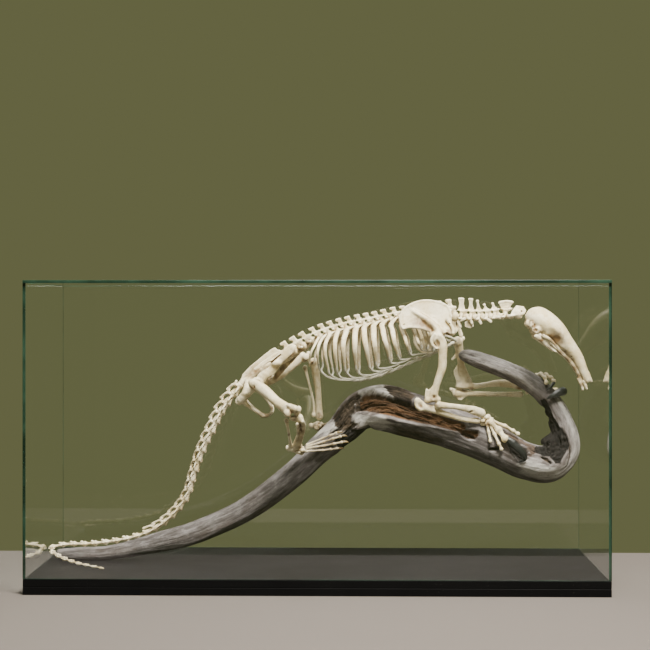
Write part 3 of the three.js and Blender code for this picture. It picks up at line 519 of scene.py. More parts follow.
class Clay:
    """Bone worked up like clay: the distance to its surface on a fine grid, in millimetres."""

    FAR = 6.0
    MARGIN = 3.2
    HOLLOW_REACH = 1.7

    def __init__(self, grain=0.5):
        self.grain = grain
        self.jobs = []
        self.low, self.high = np.full(3, np.inf), np.full(3, -np.inf)

    def plan(self, places, reach, cut, job):
        """Keeps a step of the work for later, and makes the grid large enough for what it adds."""
        self.jobs.append(job)
        if not cut:
            self.low = np.minimum(self.low, np.min(places, axis=0) - reach)
            self.high = np.maximum(self.high, np.max(places, axis=0) + reach)

    def block(self, low, high):
        """The part of the grid between two corners, and the places of its points."""
        first = np.clip(np.floor((low - self.low) / self.grain).astype(int), 0, self.field.shape)
        last = np.clip(np.ceil((high - self.low) / self.grain).astype(int) + 1, 0, self.field.shape)
        ticks = [self.low[k] + self.grain * np.arange(first[k], last[k]) for k in range(3)]
        return first, last, np.meshgrid(*ticks, indexing="ij", sparse=True)

    def work(self, first, last, distance, soft, cut):
        """Joins a shape to the clay, or cuts it away, with a soft edge."""
        part = tuple(slice(a, b) for a, b in zip(first, last))
        here = -self.field[part] if cut else self.field[part]
        near = np.maximum(soft - np.abs(here - distance), 0)
        joined = np.minimum(here, distance) - near * near / (4 * soft)
        self.field[part] = -joined if cut else joined

    def rod(self, stops, radii, thin=(1,), flat=(0, 1, 0), soft=1.0, cut=False):
        """A bar through a few places. Its radius is scaled by thin along the flat direction."""
        stops = np.array(stops, float)
        count = max(5 * (len(stops) - 1), 3 * (len(radii) - 1)) + 1
        line = spaced(curve_through(stops, 8) if len(stops) > 2 else stops, count)
        share = np.linspace(0, 1, count)
        radius, ratio = between(radii, share), between(thin, share)
        room = radius * np.maximum(ratio, 1)
        self.plan(line, room.max(), cut,
                  lambda: self.lay_rod(line, radius, ratio, room + self.MARGIN, flat, soft, cut))

    def lay_rod(self, line, radius, ratio, room, flat, soft, cut):
        """Lays a bar in the grid step by step, then joins or cuts it whole."""
        first, last, _ = self.block(line.min(0) - room.max(), line.max(0) + room.max())
        whole = np.full(last - first, self.FAR, np.float32)
        flat = unit(np.array(flat, float))
        for k in range(len(line) - 1):
            start, step = line[k], line[k + 1] - line[k]
            reach = max(room[k], room[k + 1])
            low, high = np.minimum(start, start + step) - reach, np.maximum(start, start + step) + reach
            here, there, place = self.block(low, high)
            offset = [place[axis] - start[axis] for axis in range(3)]
            along = sum(offset[axis] * step[axis] for axis in range(3)) / (step @ step)
            along = np.clip(along, 0, 1)
            offset = [offset[axis] - along * step[axis] for axis in range(3)]
            size = radius[k] + along * (radius[k + 1] - radius[k])
            square = sum(part * part for part in offset)
            if ratio[k] == 1 and ratio[k + 1] == 1:
                distance = np.sqrt(square) - size
            else:
                depth = (ratio[k] + along * (ratio[k + 1] - ratio[k])) * size
                aside = sum(offset[axis] * flat[axis] for axis in range(3)) ** 2
                round_part = np.maximum(square - aside, 0)
                inner = np.sqrt(round_part / size**2 + aside / depth**2)
                slope = np.sqrt(round_part / size**4 + aside / depth**4)
                distance = inner * (inner - 1) / np.maximum(slope, 1e-6)
            part = tuple(slice(a, b) for a, b in zip(here - first, there - first))
            whole[part] = np.minimum(whole[part], distance)
        self.work(first, last, whole, soft, cut)

    def ball(self, centre, radii, soft=1.0, cut=False):
        """An egg with three radii, or a ball with one."""
        centre, radii = np.array(centre, float), np.array(radii, float) * np.ones(3)
        self.plan([centre], radii.max(), cut, lambda: self.lay_ball(centre, radii, soft, cut))

    def lay_ball(self, centre, radii, soft, cut):
        """Lays an egg in the grid."""
        reach = radii.max() + self.MARGIN
        first, last, place = self.block(centre - reach, centre + reach)
        offset = [place[axis] - centre[axis] for axis in range(3)]
        inner = np.sqrt(sum((part / r) ** 2 for part, r in zip(offset, radii)))
        slope = np.sqrt(sum((part / r**2) ** 2 for part, r in zip(offset, radii)))
        self.work(first, last, inner * (inner - 1) / np.maximum(slope, 1e-6), soft, cut)

    def plate(self, outline, origin, right, up, half, bow=0.0, soft=1.0):
        """A flat plate of a given outline and half thickness, bowed out in the middle."""
        right, up = unit(np.array(right, float)), unit(np.array(up, float))
        origin = np.array(origin, float)
        corners = np.array([origin + a * right + b * up for a, b in outline])
        reach = half + abs(bow)
        self.plan(corners, reach, False,
                  lambda: self.lay_plate(outline, origin, right, up, half, bow, corners, soft))

    def lay_plate(self, outline, origin, right, up, half, bow, corners, soft):
        """Lays a plate in the grid, with rounded rims."""
        face = np.cross(right, up)
        reach = half + abs(bow) + self.MARGIN
        first, last, place = self.block(corners.min(0) - reach, corners.max(0) + reach)
        offset = [place[axis] - origin[axis] for axis in range(3)]
        a, b, c = (sum(offset[axis] * way[axis] for axis in range(3)) for way in (right, up, face))
        outside = -depth_inside(outline, a, b)
        bulge = bow * np.clip(-outside / 16, 0, 1)
        beyond = np.abs(c - bulge) - half
        edge = 0.5 * half
        distance = np.hypot(np.maximum(outside + edge, 0), np.maximum(beyond + edge, 0)) - edge
        distance += np.minimum(np.maximum(outside + edge, beyond + edge), 0)
        self.work(first, last, distance, soft, False)

    def cast(self, name, stains=(), rough=0.1):
        """The surface as a mesh, with how hollow and how stained it is at each point; both shares also carry
        painted shade.
        """
        self.low = self.low - 3 * self.grain
        shape = np.ceil((self.high - self.low) / self.grain).astype(int) + 4
        self.field = np.full(shape, self.FAR, np.float32)
        for job in self.jobs:
            job()
        solid = np.clip(0.5 - self.field / (2 * self.grain), 0, 1)
        window = max(2, round(self.HOLLOW_REACH / self.grain))
        for axis in range(3):
            pad = [(window + 1, window) if k == axis else (0, 0) for k in range(3)]
            total = np.cumsum(np.pad(solid, pad), axis)
            ahead = np.take(total, range(2 * window + 1, total.shape[axis]), axis)
            behind = np.take(total, range(total.shape[axis] - 2 * window - 1), axis)
            solid = (ahead - behind) / (2 * window + 1)
        grid = openvdb.FloatGrid(self.FAR)
        grid.copyFromArray(self.field)
        spots, quads = grid.convertToQuads(0.0)
        cell = np.floor(spots).astype(int)
        part = spots - cell
        filled = 0
        for corner in np.ndindex(2, 2, 2):
            weight = np.where(corner, part, 1 - part).prod(-1)
            filled = filled + weight * solid[tuple((cell + corner).T)]
        mesh = bpy.data.meshes.new(name)
        points = self.low + self.grain * spots
        mesh.from_pydata(points * MM, [], quads.tolist())
        mesh.polygons.foreach_set("use_smooth", [True] * len(mesh.polygons))
        mesh.update()
        normals = np.zeros(points.size)
        mesh.vertex_normals.foreach_get("vector", normals)
        bumps = lumps(points, 3.1, 11) + 0.5 * lumps(points, 1.3, 12)
        points = points + normals.reshape(-1, 3) * (rough * bumps)[:, None]
        mesh.vertices.foreach_set("co", (points * MM).ravel())
        mesh.update()
        give(mesh, "hollow", np.clip((filled - 0.5) * 2.6, -1, 1))
        stain = np.zeros(len(points))
        for x, y, z, radius, *weak in stains:
            far = np.linalg.norm(points - [x, y, z], axis=1) + 1.2 * lumps(points, 2.6, 13)
            stain = np.maximum(stain, rise(-far, -1.25 * radius, -0.1 * radius) * (weak or [1])[0])
        give(mesh, "stain", stain)
        return mesh


def frame_at(origin, along):
    """A place with three directions: along, to the side and up."""
    along = unit(np.array(along, float))
    side = unit(np.cross(UP, along))
    return np.array(origin, float), np.array([along, side, np.cross(along, side)])


def placed(frame, points):
    """Points measured along, aside and up in a frame, as places in the model."""
    return frame[0] + np.array(points, float) @ frame[1]


def vertebra(clay, frame, length, body, spine, lean, blade, wing, wing_rise, wing_sweep):
    """One vertebra: body, arch over the cord's canal, spine, side wings and the joints before and behind."""
    origin, (along, side, up) = frame
    at = lambda *points: placed(frame, points)
    half = length / 2 - 0.3
    canal = body + 0.9
    clay.rod(at((-half, 0, 0), (half, 0, 0)),
             [0.98 * body, 0.84 * body, 0.8 * body, 0.84 * body, 0.98 * body], soft=0.6)
    clay.rod(at((-0.3 * length, 0, canal), (0.26 * length, 0, canal + 0.3)), [0.74 * body, 0.7 * body],
             soft=1.4)
    foot, head, top = canal + 0.4 * body, 0.27 * length, spine
    outline = [(-0.21 * length, foot), (lean - head, top - 0.6), (lean - head + 0.8, top),
               (lean + head, top - 0.4), (lean + head + 0.3, top - 1.6),
               (0.62 * lean + 0.16 * length, 0.5 * (foot + top)), (0.24 * length, foot)]
    clay.plate(outline, origin, along, up, blade, soft=1.6)
    clay.rod(at((lean - 0.7 * head, 0, top - 1), (lean + 0.7 * head, 0, top - 1.2)), [1.25 * blade],
             soft=1.2)
    for out in (-1, 1):
        clay.rod(at((0, out * 0.6 * body, 0.55 * body),
                    (0.4 * wing_sweep, out * 0.8 * wing, 0.55 * body + wing_rise),
                    (wing_sweep, out * wing, 0.55 * body + wing_rise)), [2.3, 1.5, 1.8], [0.75], up,
                 soft=1.2)
        clay.rod(at((-0.15 * length, out * 0.5 * body, canal + 1),
                    (-0.5 * length, out * 0.56 * body, canal + 2.2)), [1.7, 1.3], soft=1)
        clay.rod(at((0.15 * length, out * 0.42 * body, canal + 1.6),
                    (0.52 * length, out * 0.44 * body, canal + 0.9)), [1.5, 1.1], soft=0.8)
        clay.ball(at((0.12 * length, out * 0.92 * body, 0.15 * body))[0], 0.7, 0.5, True)
    clay.rod(at((-length, 0, canal), (length, 0, canal)), [0.42 * body], soft=0.5, cut=True)
    clay.rod(at((0.36 * length, -body, canal - 0.4), (0.36 * length, body, canal - 0.4)), [0.2 * length],
             soft=0.8, cut=True)


ivory, pen = new_finish("ivory_bone", 0.55, 0.4)
spot = own_place(pen)
hollow = stored(pen, "hollow")
stain_and_painted_shade = stored(pen, "stain")
cloud = noise(pen, spot, 0.014, 3)
mottle = noise(pen, spot, 0.0035, 3, 0.6)
pores = noise(pen, spot, 0.0007, 2, 0.6)
cream = cloud.rise(0.35, 0.65).blend(paint(226, 213, 182), paint(206, 188, 148))
cream = (mottle.rise(0.5, 0.78) * 0.6).blend(cream, paint(178, 152, 106))
# Convex edges are painted paler as painted light. Hollows are painted tan, partly dried residue and partly
# painted shade.
cream = ((0 - hollow).rise(0.15, 0.7) * 0.6).blend(cream, paint(240, 231, 206))
cream = (hollow.rise(0, 0.38) * (0.65 + 0.6 * mottle)).blend(cream, paint(118, 88, 52))
# The stain share paints real stains, and on some bones painted shade as well.
cream = (stain_and_painted_shade * (0.5 + 0.8 * mottle)).blend(cream, paint(104, 78, 45))
feed(ivory, Base_Color=cream, Roughness=0.46 + 0.2 * mottle,
     Normal=bumped(pen, mottle * 0.6 + pores * 0.4, 0.0004, 0.6))

backbone = curve_through(BACKBONE_STOPS, 40)
# Each row from the third bone back: place along the backbone, length, height of the spine, half width of
# its top, of its waist and of its foot, and its lean. The hooks below them are given along and up.
NECK_ROWS = [
    (35.0, 10.0, 16.0, 0.9, 1.5, 3.3, 1.6), (44.7, 9.3, 15.4, 0.8, 1.3, 3.2, 1.8),
    (53.9, 9.2, 20.0, 1.1, 1.4, 2.8, 1.6), (63.3, 10.0, 21.8, 2.5, 1.8, 3.9, 1.1),
    (74.4, 12.0, 21.8, 3.5, 2.6, 4.2, 1.2),
]
NECK_HOOKS = [[(1, -1), (-4, -1.6), (-9, -3.4)], [(1, -2), (-2.4, -4), (-4.6, -6)],
              [(1, -2), (-1.2, -4.8), (-2.4, -7.2)], [(3, -1), (0, -4), (-2, -7)],
              [(-3.7, -2.4), (3, -6), (0.4, -11.8)]]
neck = Clay(0.45)


def neck_place(run):
    """The frame of the backbone at a distance along it."""
    before, here, after = stretch_of(backbone, run - 1, run + 1, 3)
    return frame_at(here, after - before)


neck_stains = []
for (run, length, top, tip, waist, base, lean), hook in zip(NECK_ROWS, NECK_HOOKS):
    place = neck_place(run)
    at = lambda *points: placed(place, points)
    vertebra(neck, place, length, body=4.4, spine=9.6, lean=0.3, blade=0.9,
             wing=8.6, wing_rise=-4.6, wing_sweep=1.6)
    middle = 0.5 * (8 + top)
    neck.plate([(-base, 7.6), (0.5 * lean - waist, middle), (lean - tip, top - 0.9), (lean - 0.7 * tip, top),
                (lean + 0.7 * tip, top), (lean + tip, top - 0.9), (0.5 * lean + waist, middle), (base, 7.6)],
               place[0], place[1][0], place[1][2], 0.95, soft=1.2)
    neck.rod(at((lean - 0.6 * tip, 0, top - 1), (lean + 0.6 * tip, 0, top - 1)), [1.2], soft=1)
    for out in (-1, 1):
        neck.rod(at(*[(along, out * 7.2, up) for along, up in hook]), [1.9, 1.8, 1.5], [0.6], place[1][1])
    neck_stains += [(*at((0, -5.4, 0.6))[0], 5), (*at((length / 2, -5, -1.4))[0], 3.6, 0.8)]
sixth_place = neck_place(NECK_ROWS[3][0])
for out in (-1, 1):
    neck.plate([(6.8, -6.5), (6.4, -12), (0, -13.5), (-3.7, -11), (-3, -6), (1, -3)],
               placed(sixth_place, [(0, out * 6.4, 0)])[0], sixth_place[1][0],
               sixth_place[1][2] + 0.2 * out * sixth_place[1][1], 0.8)
axis_place = neck_place(23)
vertebra(neck, axis_place, 13.4, body=4.6, spine=10, lean=0, blade=1.0,
         wing=8, wing_rise=-4, wing_sweep=3)
neck.plate([(7.6, 14.6), (6.4, 17), (-1, 17.6), (-7, 17.2), (-9.4, 15.4), (-5.6, 9.6), (-6, 6), (5, 6),
            (5, 9.6)], axis_place[0], axis_place[1][0], axis_place[1][2], 0.95, soft=1.2)
neck.rod(placed(axis_place, [(6.6, 0, 15), (-1, 0, 16.6), (-8.2, 0, 15.6)]), [1.3], soft=1)
neck.rod(placed(axis_place, [(-6, 0, 0), (-11, 0, 1)]), [2.6, 1.6])
atlas_place = neck_place(9)
atlas = lambda *points: placed(atlas_place, points)
for out in (-1, 1):
    neck.rod(atlas((-1, 0, -1), (-1, out * 6, 0), (-1, out * 6.4, 4.6), (-1, 0, 9)), [2, 2.6, 2.6, 1.9],
             [1.7], atlas_place[1][0])
    slope = unit(atlas_place[1][2] - 0.5 * out * atlas_place[1][1])
    neck.plate([(2.5, 13.6), (-5.7, 13.6), (-9.5, 8.6), (-8, 4), (-3, 2), (8.3, -1.6), (6, 7)],
               atlas((0, out * 9.4, 0))[0], atlas_place[1][0], slope, 1.1, soft=1.6)
    neck.ball(atlas((-4.4, out * 6.6, 6.2))[0], 1.2, 0.5, True)
neck.rod(atlas((-9, 0, 2.4), (9, 0, 2.4)), [4.0], soft=0.6, cut=True)
neck_stains += [(*placed(axis_place, [(0, -5.6, 0.6)])[0], 4.6), (*atlas((2, -7, 3))[0], 3)]
add_piece(neck.cast("neck_vertebrae", neck_stains), ivory, "bone", "neck")

# Chest and loin: sixteen chest vertebrae with square spines that lean towards the tail, then three
# broad ones without ribs. Each row is one pattern repeated along the backbone.
CHEST_LENGTH = (CHEST_END - NECK_END) / CHEST_BONES
LOIN_LENGTH = (LOIN_END - CHEST_END) / LOIN_BONES
CHEST_HEIGHTS = [1.39, 1.29, 1.18, 1.09, 1.03, 1.0, 1.0, 0.98, 0.99, 1.0, 1.03, 1.06, 1.08, 1.08, 1.07, 1.06]


def sockets(tree, inputs):
    """Names a tree's inputs, gives it a geometry output, and returns its pen and each input's tone."""
    for name, kind in inputs.items():
        tree.interface.new_socket(name, in_out="INPUT", socket_type=f"NodeSocket{kind}")
    tree.interface.new_socket("Geometry", in_out="OUTPUT", socket_type="NodeSocketGeometry")
    entry = tree.nodes.new("NodeGroupInput")
    return Tone(tree), {name: Tone(tree, entry.outputs[name]) for name in inputs}


def close_tree(pen, shape, material):
    """Ends a tree with real mesh in one finish."""
    real = pen.make("GeometryNodeRealizeInstances", {}, {"Geometry": shape})
    done = pen.make("GeometryNodeSetMaterial", {}, {"Geometry": real, "Material": material})
    pen.tree.links.new(done.socket, pen.tree.nodes.new("NodeGroupOutput").inputs["Geometry"])


bone_chain = bpy.data.node_groups.new("bone_chain", "GeometryNodeTree")
pen, chain = sockets(bone_chain, {"Path": "Object", "Bone": "Object", "Count": "Int", "Length": "Float",
                                  "Width Follows": "Float", "Seed": "Int", "Finish": "Material"})
path = pen.make("GeometryNodeObjectInfo", {}, {"Object": chain["Path"]}, "Geometry")
bone = pen.make("GeometryNodeObjectInfo", {}, {"Object": chain["Bone"]}, "Geometry")
index = pen.make("GeometryNodeInputIndex")
share = pen.sum("DIVIDE", index + 0.5, chain["Count"])
size = pen.make("GeometryNodeSampleCurve", {"mode": "FACTOR", "use_all_curves": True},
                {"Curves": path, "Value": pen.make("GeometryNodeInputRadius"), "Factor": share}, "Value")
outputs = size.socket.node.outputs
spots = pen.make("GeometryNodeSetPosition", {}, {
    "Geometry": pen.make("GeometryNodePoints", {}, {"Count": chain["Count"]}),
    "Position": Tone(bone_chain, outputs["Position"])})
turned = pen.make("FunctionNodeAxesToRotation", {"primary_axis": "X", "secondary_axis": "Z"},
                  {"Primary Axis": Tone(bone_chain, outputs["Tangent"]), "Secondary Axis": UP})
wobble = pen.make("FunctionNodeRandomValue", {"data_type": "FLOAT_VECTOR"},
                  {"Min": (-0.035,) * 3, "Max": (0.035,) * 3, "Seed": chain["Seed"]})
turned = pen.make("FunctionNodeRotateRotation", {"rotation_space": "LOCAL"}, {
    "Rotation": turned, "Rotate By": pen.make("FunctionNodeEulerToRotation", {}, {"Euler": wobble})})
width = 1 + (size - 1) * chain["Width Follows"]
scale = pen.make("ShaderNodeCombineXYZ", {}, {"X": chain["Length"], "Y": width, "Z": size})
row = pen.make("GeometryNodeInstanceOnPoints", {},
               {"Points": spots, "Instance": bone, "Rotation": turned, "Scale": scale})
close_tree(pen, row, chain["Finish"])


def path_object(name, lines):
    """A curve object along one or more lines, whose fourth numbers are its width."""
    curve = bpy.data.curves.new(name, "CURVE")
    curve.dimensions = "3D"
    for line in lines:
        spline = curve.splines.new("POLY")
        spline.points.add(len(line) - 1)
        spline.points.foreach_set("co", np.column_stack([line[:, :3] * MM, np.ones(len(line))]).ravel())
        spline.points.foreach_set("radius", line[:, 3])
    holder = bpy.data.objects.new(name, curve)
    bpy.context.scene.collection.objects.link(holder)
    return holder


def mesh_object(mesh):
    """A plain object that holds a mesh for a tree to read."""
    holder = bpy.data.objects.new(mesh.name, mesh)
    bpy.context.scene.collection.objects.link(holder)
    return holder


def grown(name, tree, values):
    """The plain mesh that a tree gives for its named inputs, which are then put away."""
    holder = mesh_object(bpy.data.meshes.new(f"{name}_seed"))
    modifier = holder.modifiers.new("grow", "NODES")
    modifier.node_group = tree
    for item in tree.interface.items_tree:
        if item.in_out == "INPUT":
            modifier[item.identifier] = values[item.name]
    graph = bpy.context.evaluated_depsgraph_get()
    mesh = bpy.data.meshes.new_from_object(holder.evaluated_get(graph), depsgraph=graph)
    mesh.name = name
    for used in [holder, *values.values()]:
        if isinstance(used, bpy.types.Object):
            bpy.data.objects.remove(used)
    return mesh


def chained(name, line, sizes, pattern, count, length, width_follows, seed):
    """A row of one vertebra pattern along a line, with its size read between stops."""
    widths = between(sizes, np.linspace(0, 1, len(line)))
    return grown(name, bone_chain, {
        "Path": path_object(f"{name}_path", [np.column_stack([line[:, :3], widths])]),
        "Bone": mesh_object(pattern), "Count": count, "Length": length, "Width Follows": width_follows,
        "Seed": seed, "Finish": ivory})


chest_pattern = Clay(0.5)
vertebra(chest_pattern, frame_at((0, 0, 0), (1, 0, 0)), CHEST_LENGTH, body=4.8, spine=14.7, lean=2.6,
         blade=1.1, wing=8.6, wing_rise=2.4, wing_sweep=-0.5)
chest_mesh = chest_pattern.cast("chest_pattern", [(1, -4.6, 1, 4.2), (1, 4.6, 1, 4.2)])
chest_line = stretch_of(backbone, NECK_END, CHEST_END)
chest_row = chained("chest_vertebrae", chest_line, CHEST_HEIGHTS, chest_mesh, CHEST_BONES,
                    length=1.0, width_follows=0.0, seed=3)
add_piece(chest_row, ivory, "bone", "thoracic_spine")
loin_pattern = Clay(0.5)
vertebra(loin_pattern, frame_at((0, 0, 0), (1, 0, 0)), LOIN_LENGTH, body=5.6, spine=17, lean=2.4,
         blade=1.3, wing=10.5, wing_rise=-2.2, wing_sweep=-3.5)
loin_mesh = loin_pattern.cast("loin_pattern", [(0, -5.4, -0.5, 7), (0, 5.4, -0.5, 7)])
loin_line = stretch_of(backbone, CHEST_END, LOIN_END)
loin_row = chained("loin_vertebrae", loin_line, [0.94, 1.0, 1.06], loin_mesh, LOIN_BONES,
                   length=1.0, width_follows=1.0, seed=4)
add_piece(loin_row, ivory, "bone", "lumbar_spine")

# Tail: a long row of spool-shaped vertebrae in four lengths. Near the root each has side wings, a bowed
# arch above with an open eye below it, and a small chevron hung under the joint; further out the spools
# keep only short knobs, and the thin end curls on the board.
TAIL_STOPS = [
    (-92, -8, 231), (-112, -7, 205), (-126, -5, 179), (-139, -1, 152), (-149, 4, 124), (-158.5, 9, 96),
    (-177, 13, 72.5), (-201, 16, 55), (-229, 17, 45), (-270, 18, 38.4), (-308, 18, 36.5), (-320.5, 14, 34),
    (-320.5, 5, 31), (-311, -8, 27), (-284, -32, 22), (-251, -58, 20.4),
]
TAIL_BONES = 34
TAIL_SIZES = [1.06, 0.98, 0.9, 0.84, 0.78, 0.73, 0.68, 0.64, 0.6, 0.52, 0.36, 0.22]
TAIL_LENGTHS = 4
tail_line = spaced(curve_through(TAIL_STOPS, 24), 400)
tail_step = run_of(tail_line)[-1] / TAIL_BONES


def tail_root_bone():
    """The pattern of a thick tail vertebra, with its arch, wings and chevron."""
    clay = Clay(0.52)
    half = tail_step / 2 - 0.3
    clay.rod([(-half, 0, 0), (half, 0, 0)], [4.6, 3.8, 3.5, 3.9, 4.6], soft=0.6)
    for out in (-1, 1):
        clay.rod([(-4, out * 2.2, 2), (-3, out * 2.6, 6), (2, out * 1.4, 8.2), (6.8, 0, 8.2)],
                 [1.8, 1.6, 1.5, 1.7])
        clay.rod([(-2.8, out * 2.4, 5.6), (-7, out * 2.8, 7)], [1.3, 1.1])
        clay.rod([(-3, out * 2.5, 0), (0.5, out * 5.4, 0), (3, out * 6.4, -0.4)], [2.2, 1.7, 1.4], [0.7], UP)
        clay.rod([(5.6, out * 1.6, -3), (6.8, out * 1.5, -4.2), (8, 0, -4.8)], [1.5, 1.3, 1.3])
        clay.ball((0, out * 3.4, -1.2), 0.7, 0.5, True)
    clay.rod([(3, 0, 8.2), (7.4, 0, 8.8)], [1.3, 1.8], [0.7])
    return clay.cast("tail_root_pattern", [(0, -4, 3, 3.4), (0, 4, 3, 3.4), (6, 0, -5, 3.5)])


def tail_end_bone():
    """The pattern of a slender tail vertebra, with short knobs at each end."""
    clay = Clay(0.5)
    half = tail_step / 2 - 0.3
    clay.rod([(-half, 0, 0), (half, 0, 0)], [4.4, 3.6, 2.7, 2.5, 2.8, 3.7, 4.4], soft=0.6)
    for out in (-1, 1):
        clay.rod([(-5, out * 2, 2.2), (-3.6, out * 2.2, 4.6)], [1.5, 1.3])
        clay.rod([(4.6, out * 2, 2.2), (5.2, out * 2, 4)], [1.4, 1.1])
        clay.rod([(-4.6, out * 3, 0), (-4, out * 5.8, 0)], [1.7, 1.2], [0.7], UP)
        clay.rod([(4.4, out * 3, 0), (4.6, out * 5, 0)], [1.6, 1.0], [0.7], UP)
        clay.rod([(4.8, out * 1.4, -3), (5.4, out * 1.2, -4.4)], [1.5, 1.3])
    return clay.cast("tail_end_pattern", [(0, 0, 3, 3), (0, 0, -3, 3)])


first_bone = 0
for part in range(TAIL_LENGTHS):
    end_bone = round(TAIL_BONES * (part + 1) / TAIL_LENGTHS + 1e-9)
    line = stretch_of(tail_line, first_bone * tail_step, end_bone * tail_step, 60)
    reach = np.array([first_bone, end_bone]) / TAIL_BONES
    sizes = between(TAIL_SIZES, np.linspace(*reach, 8))
    pattern = tail_root_bone() if part < 2 else tail_end_bone()
    mesh = chained(f"tail_length_{part + 1}", line, sizes, pattern, end_bone - first_bone,
                   length=1.0, width_follows=1.0, seed=5 + part)
    add_piece(mesh, ivory, "bone", f"tail_{part + 1}")
    first_bone = end_bone

# Pelvis: the fused sacrum with its long crest, a hip bone on each side with the socket of the thigh,
# and the thin ring of the pubis below. All of it has grown together into one bone.
PELVIS_MIDDLE = -8.0
pelvis = Clay(0.6)
sacrum = stretch_of(backbone, LOIN_END + 0.4, run_of(backbone)[-1], 6)
crest_place = frame_at(sacrum[0], sacrum[-1] - sacrum[0])
crest_length = np.linalg.norm(sacrum[-1] - sacrum[0])
crest = [(0, 4), (3, 11), (5.5, 13), (6.6, 16.6), (9, 17.6), (14, 17), (21, 16.2), (28, 15.2), (35, 14),
         (43, 13), (50, 11.2), (57, 9), (crest_length, 4)]
pelvis.rod(sacrum, [5.6, 5.4, 5.2, 5, 4.6])
pelvis.rod([(-54, -2, 236), (-46, -2, 246), (-36, -2, 257.5), (-25, -2, 269)], [2.6, 3.2, 3.6, 3.2], [0.5])
pelvis.plate(crest, crest_place[0], crest_place[1][0], crest_place[1][2], 1.1, soft=2.2)
for out in (-1, 1):
    aside = lambda *points: [(x, PELVIS_MIDDLE + out * y, z) for x, y, z in points]
    pelvis.rod(aside((-31, 17, 275), (-52, 18, 256), (-72, 19, 233), (-84, 18, 221.4), (-91, 15, 215)),
               [5.2, 5.6, 5.2, 6.6, 4.8, 4.6, 4.2], [0.45, 0.45, 0.6, 0.75, 0.65, 0.6, 0.7], soft=1.4)
    pelvis.plate([(-36, 277), (-42, 276.4), (-50.5, 273), (-65.9, 262.6), (-76, 254), (-73, 250.7),
                  (-65.9, 252.5), (-58.8, 256.6), (-54, 245), (-48, 253), (-41, 263), (-34, 271)],
                 (0, PELVIS_MIDDLE + out * 57, 0), (1, 0, 0), (0, -out * 0.16, 1), 1.3, soft=2.4)
    pelvis.rod(aside((-86, 16.8, 219.4), (-93, 13.6, 212.6)), [5, 4.8], [0.42], soft=2)
    pelvis.rod(aside((-70, 17, 228), (-57, 12, 210), (-54.6, 8, 200), (-60, 2, 194.8), (-67, -0.6, 195)),
               [4, 2.2, 1.9, 1.8, 2.4], [0.8])
    pelvis.rod(aside((-90, 14, 213.6), (-78, 8, 203.4), (-66, -0.6, 194.8)), [3.4, 1.9, 2.4], [0.8])
    pelvis.rod(aside((-47, 3, 260), (-50, 18, 258)), [6, 7], [0.7], UP, soft=2.5)
    pelvis.rod(aside((-62, 3, 249), (-66, 17, 243)), [4.6, 5], [0.5], UP, soft=2)
    pelvis.rod(aside((-82, 3, 237), (-85, 17, 222)), [4.4, 4.4], [0.7], UP, soft=2)
    pelvis.ball(aside((-72, 21, 233))[0], (8.2, 4.5, 8.2), soft=2)
    pelvis.ball(aside((-72, 26, 233))[0], (5.8, 5, 5.8), soft=0.8, cut=True)
    pelvis.rod(aside((-80.4, 19, 243), (-72.9, 19, 246.8), (-64.6, 19, 251.2), (-54, 20, 259.4),
                     (-44, 20, 267.6)), [2.2, 3, 2.4, 1.3, 0.9], [4], soft=1, cut=True)
# Most of these are painted shade: the slot over the sacrum, the band under the near hip bone and the pubic
# ring. The rest are brown mottling on the hip bone.
pelvis_stains_and_shade = [(-73, -11, 247.5, 9), (-80, -11, 243, 7, 0.8), (-64, -12, 251.5, 6, 0.8),
                 (-50, -5, 241, 8), (-42, -5, 250, 8), (-32, -5, 261, 8), (-26, -5, 268, 6, 0.8),
                 (-66, -20, 237, 8, 0.5), (-44, -26, 262, 9, 0.3), (-58, -26, 256, 6, 0.6),
                 (-49, -26, 263, 5, 0.5), (-84, -22, 224, 8, 0.4), (-50, -8, 250, 10), (-77, -22, 240, 6),
                 (-72, -30, 233, 6), (-62, -8, 198, 12), (-57, -18, 240, 9), (-54, -18, 206, 7)]
add_piece(pelvis.cast("pelvis_bone", pelvis_stains_and_shade), ivory, "bone", "pelvis")

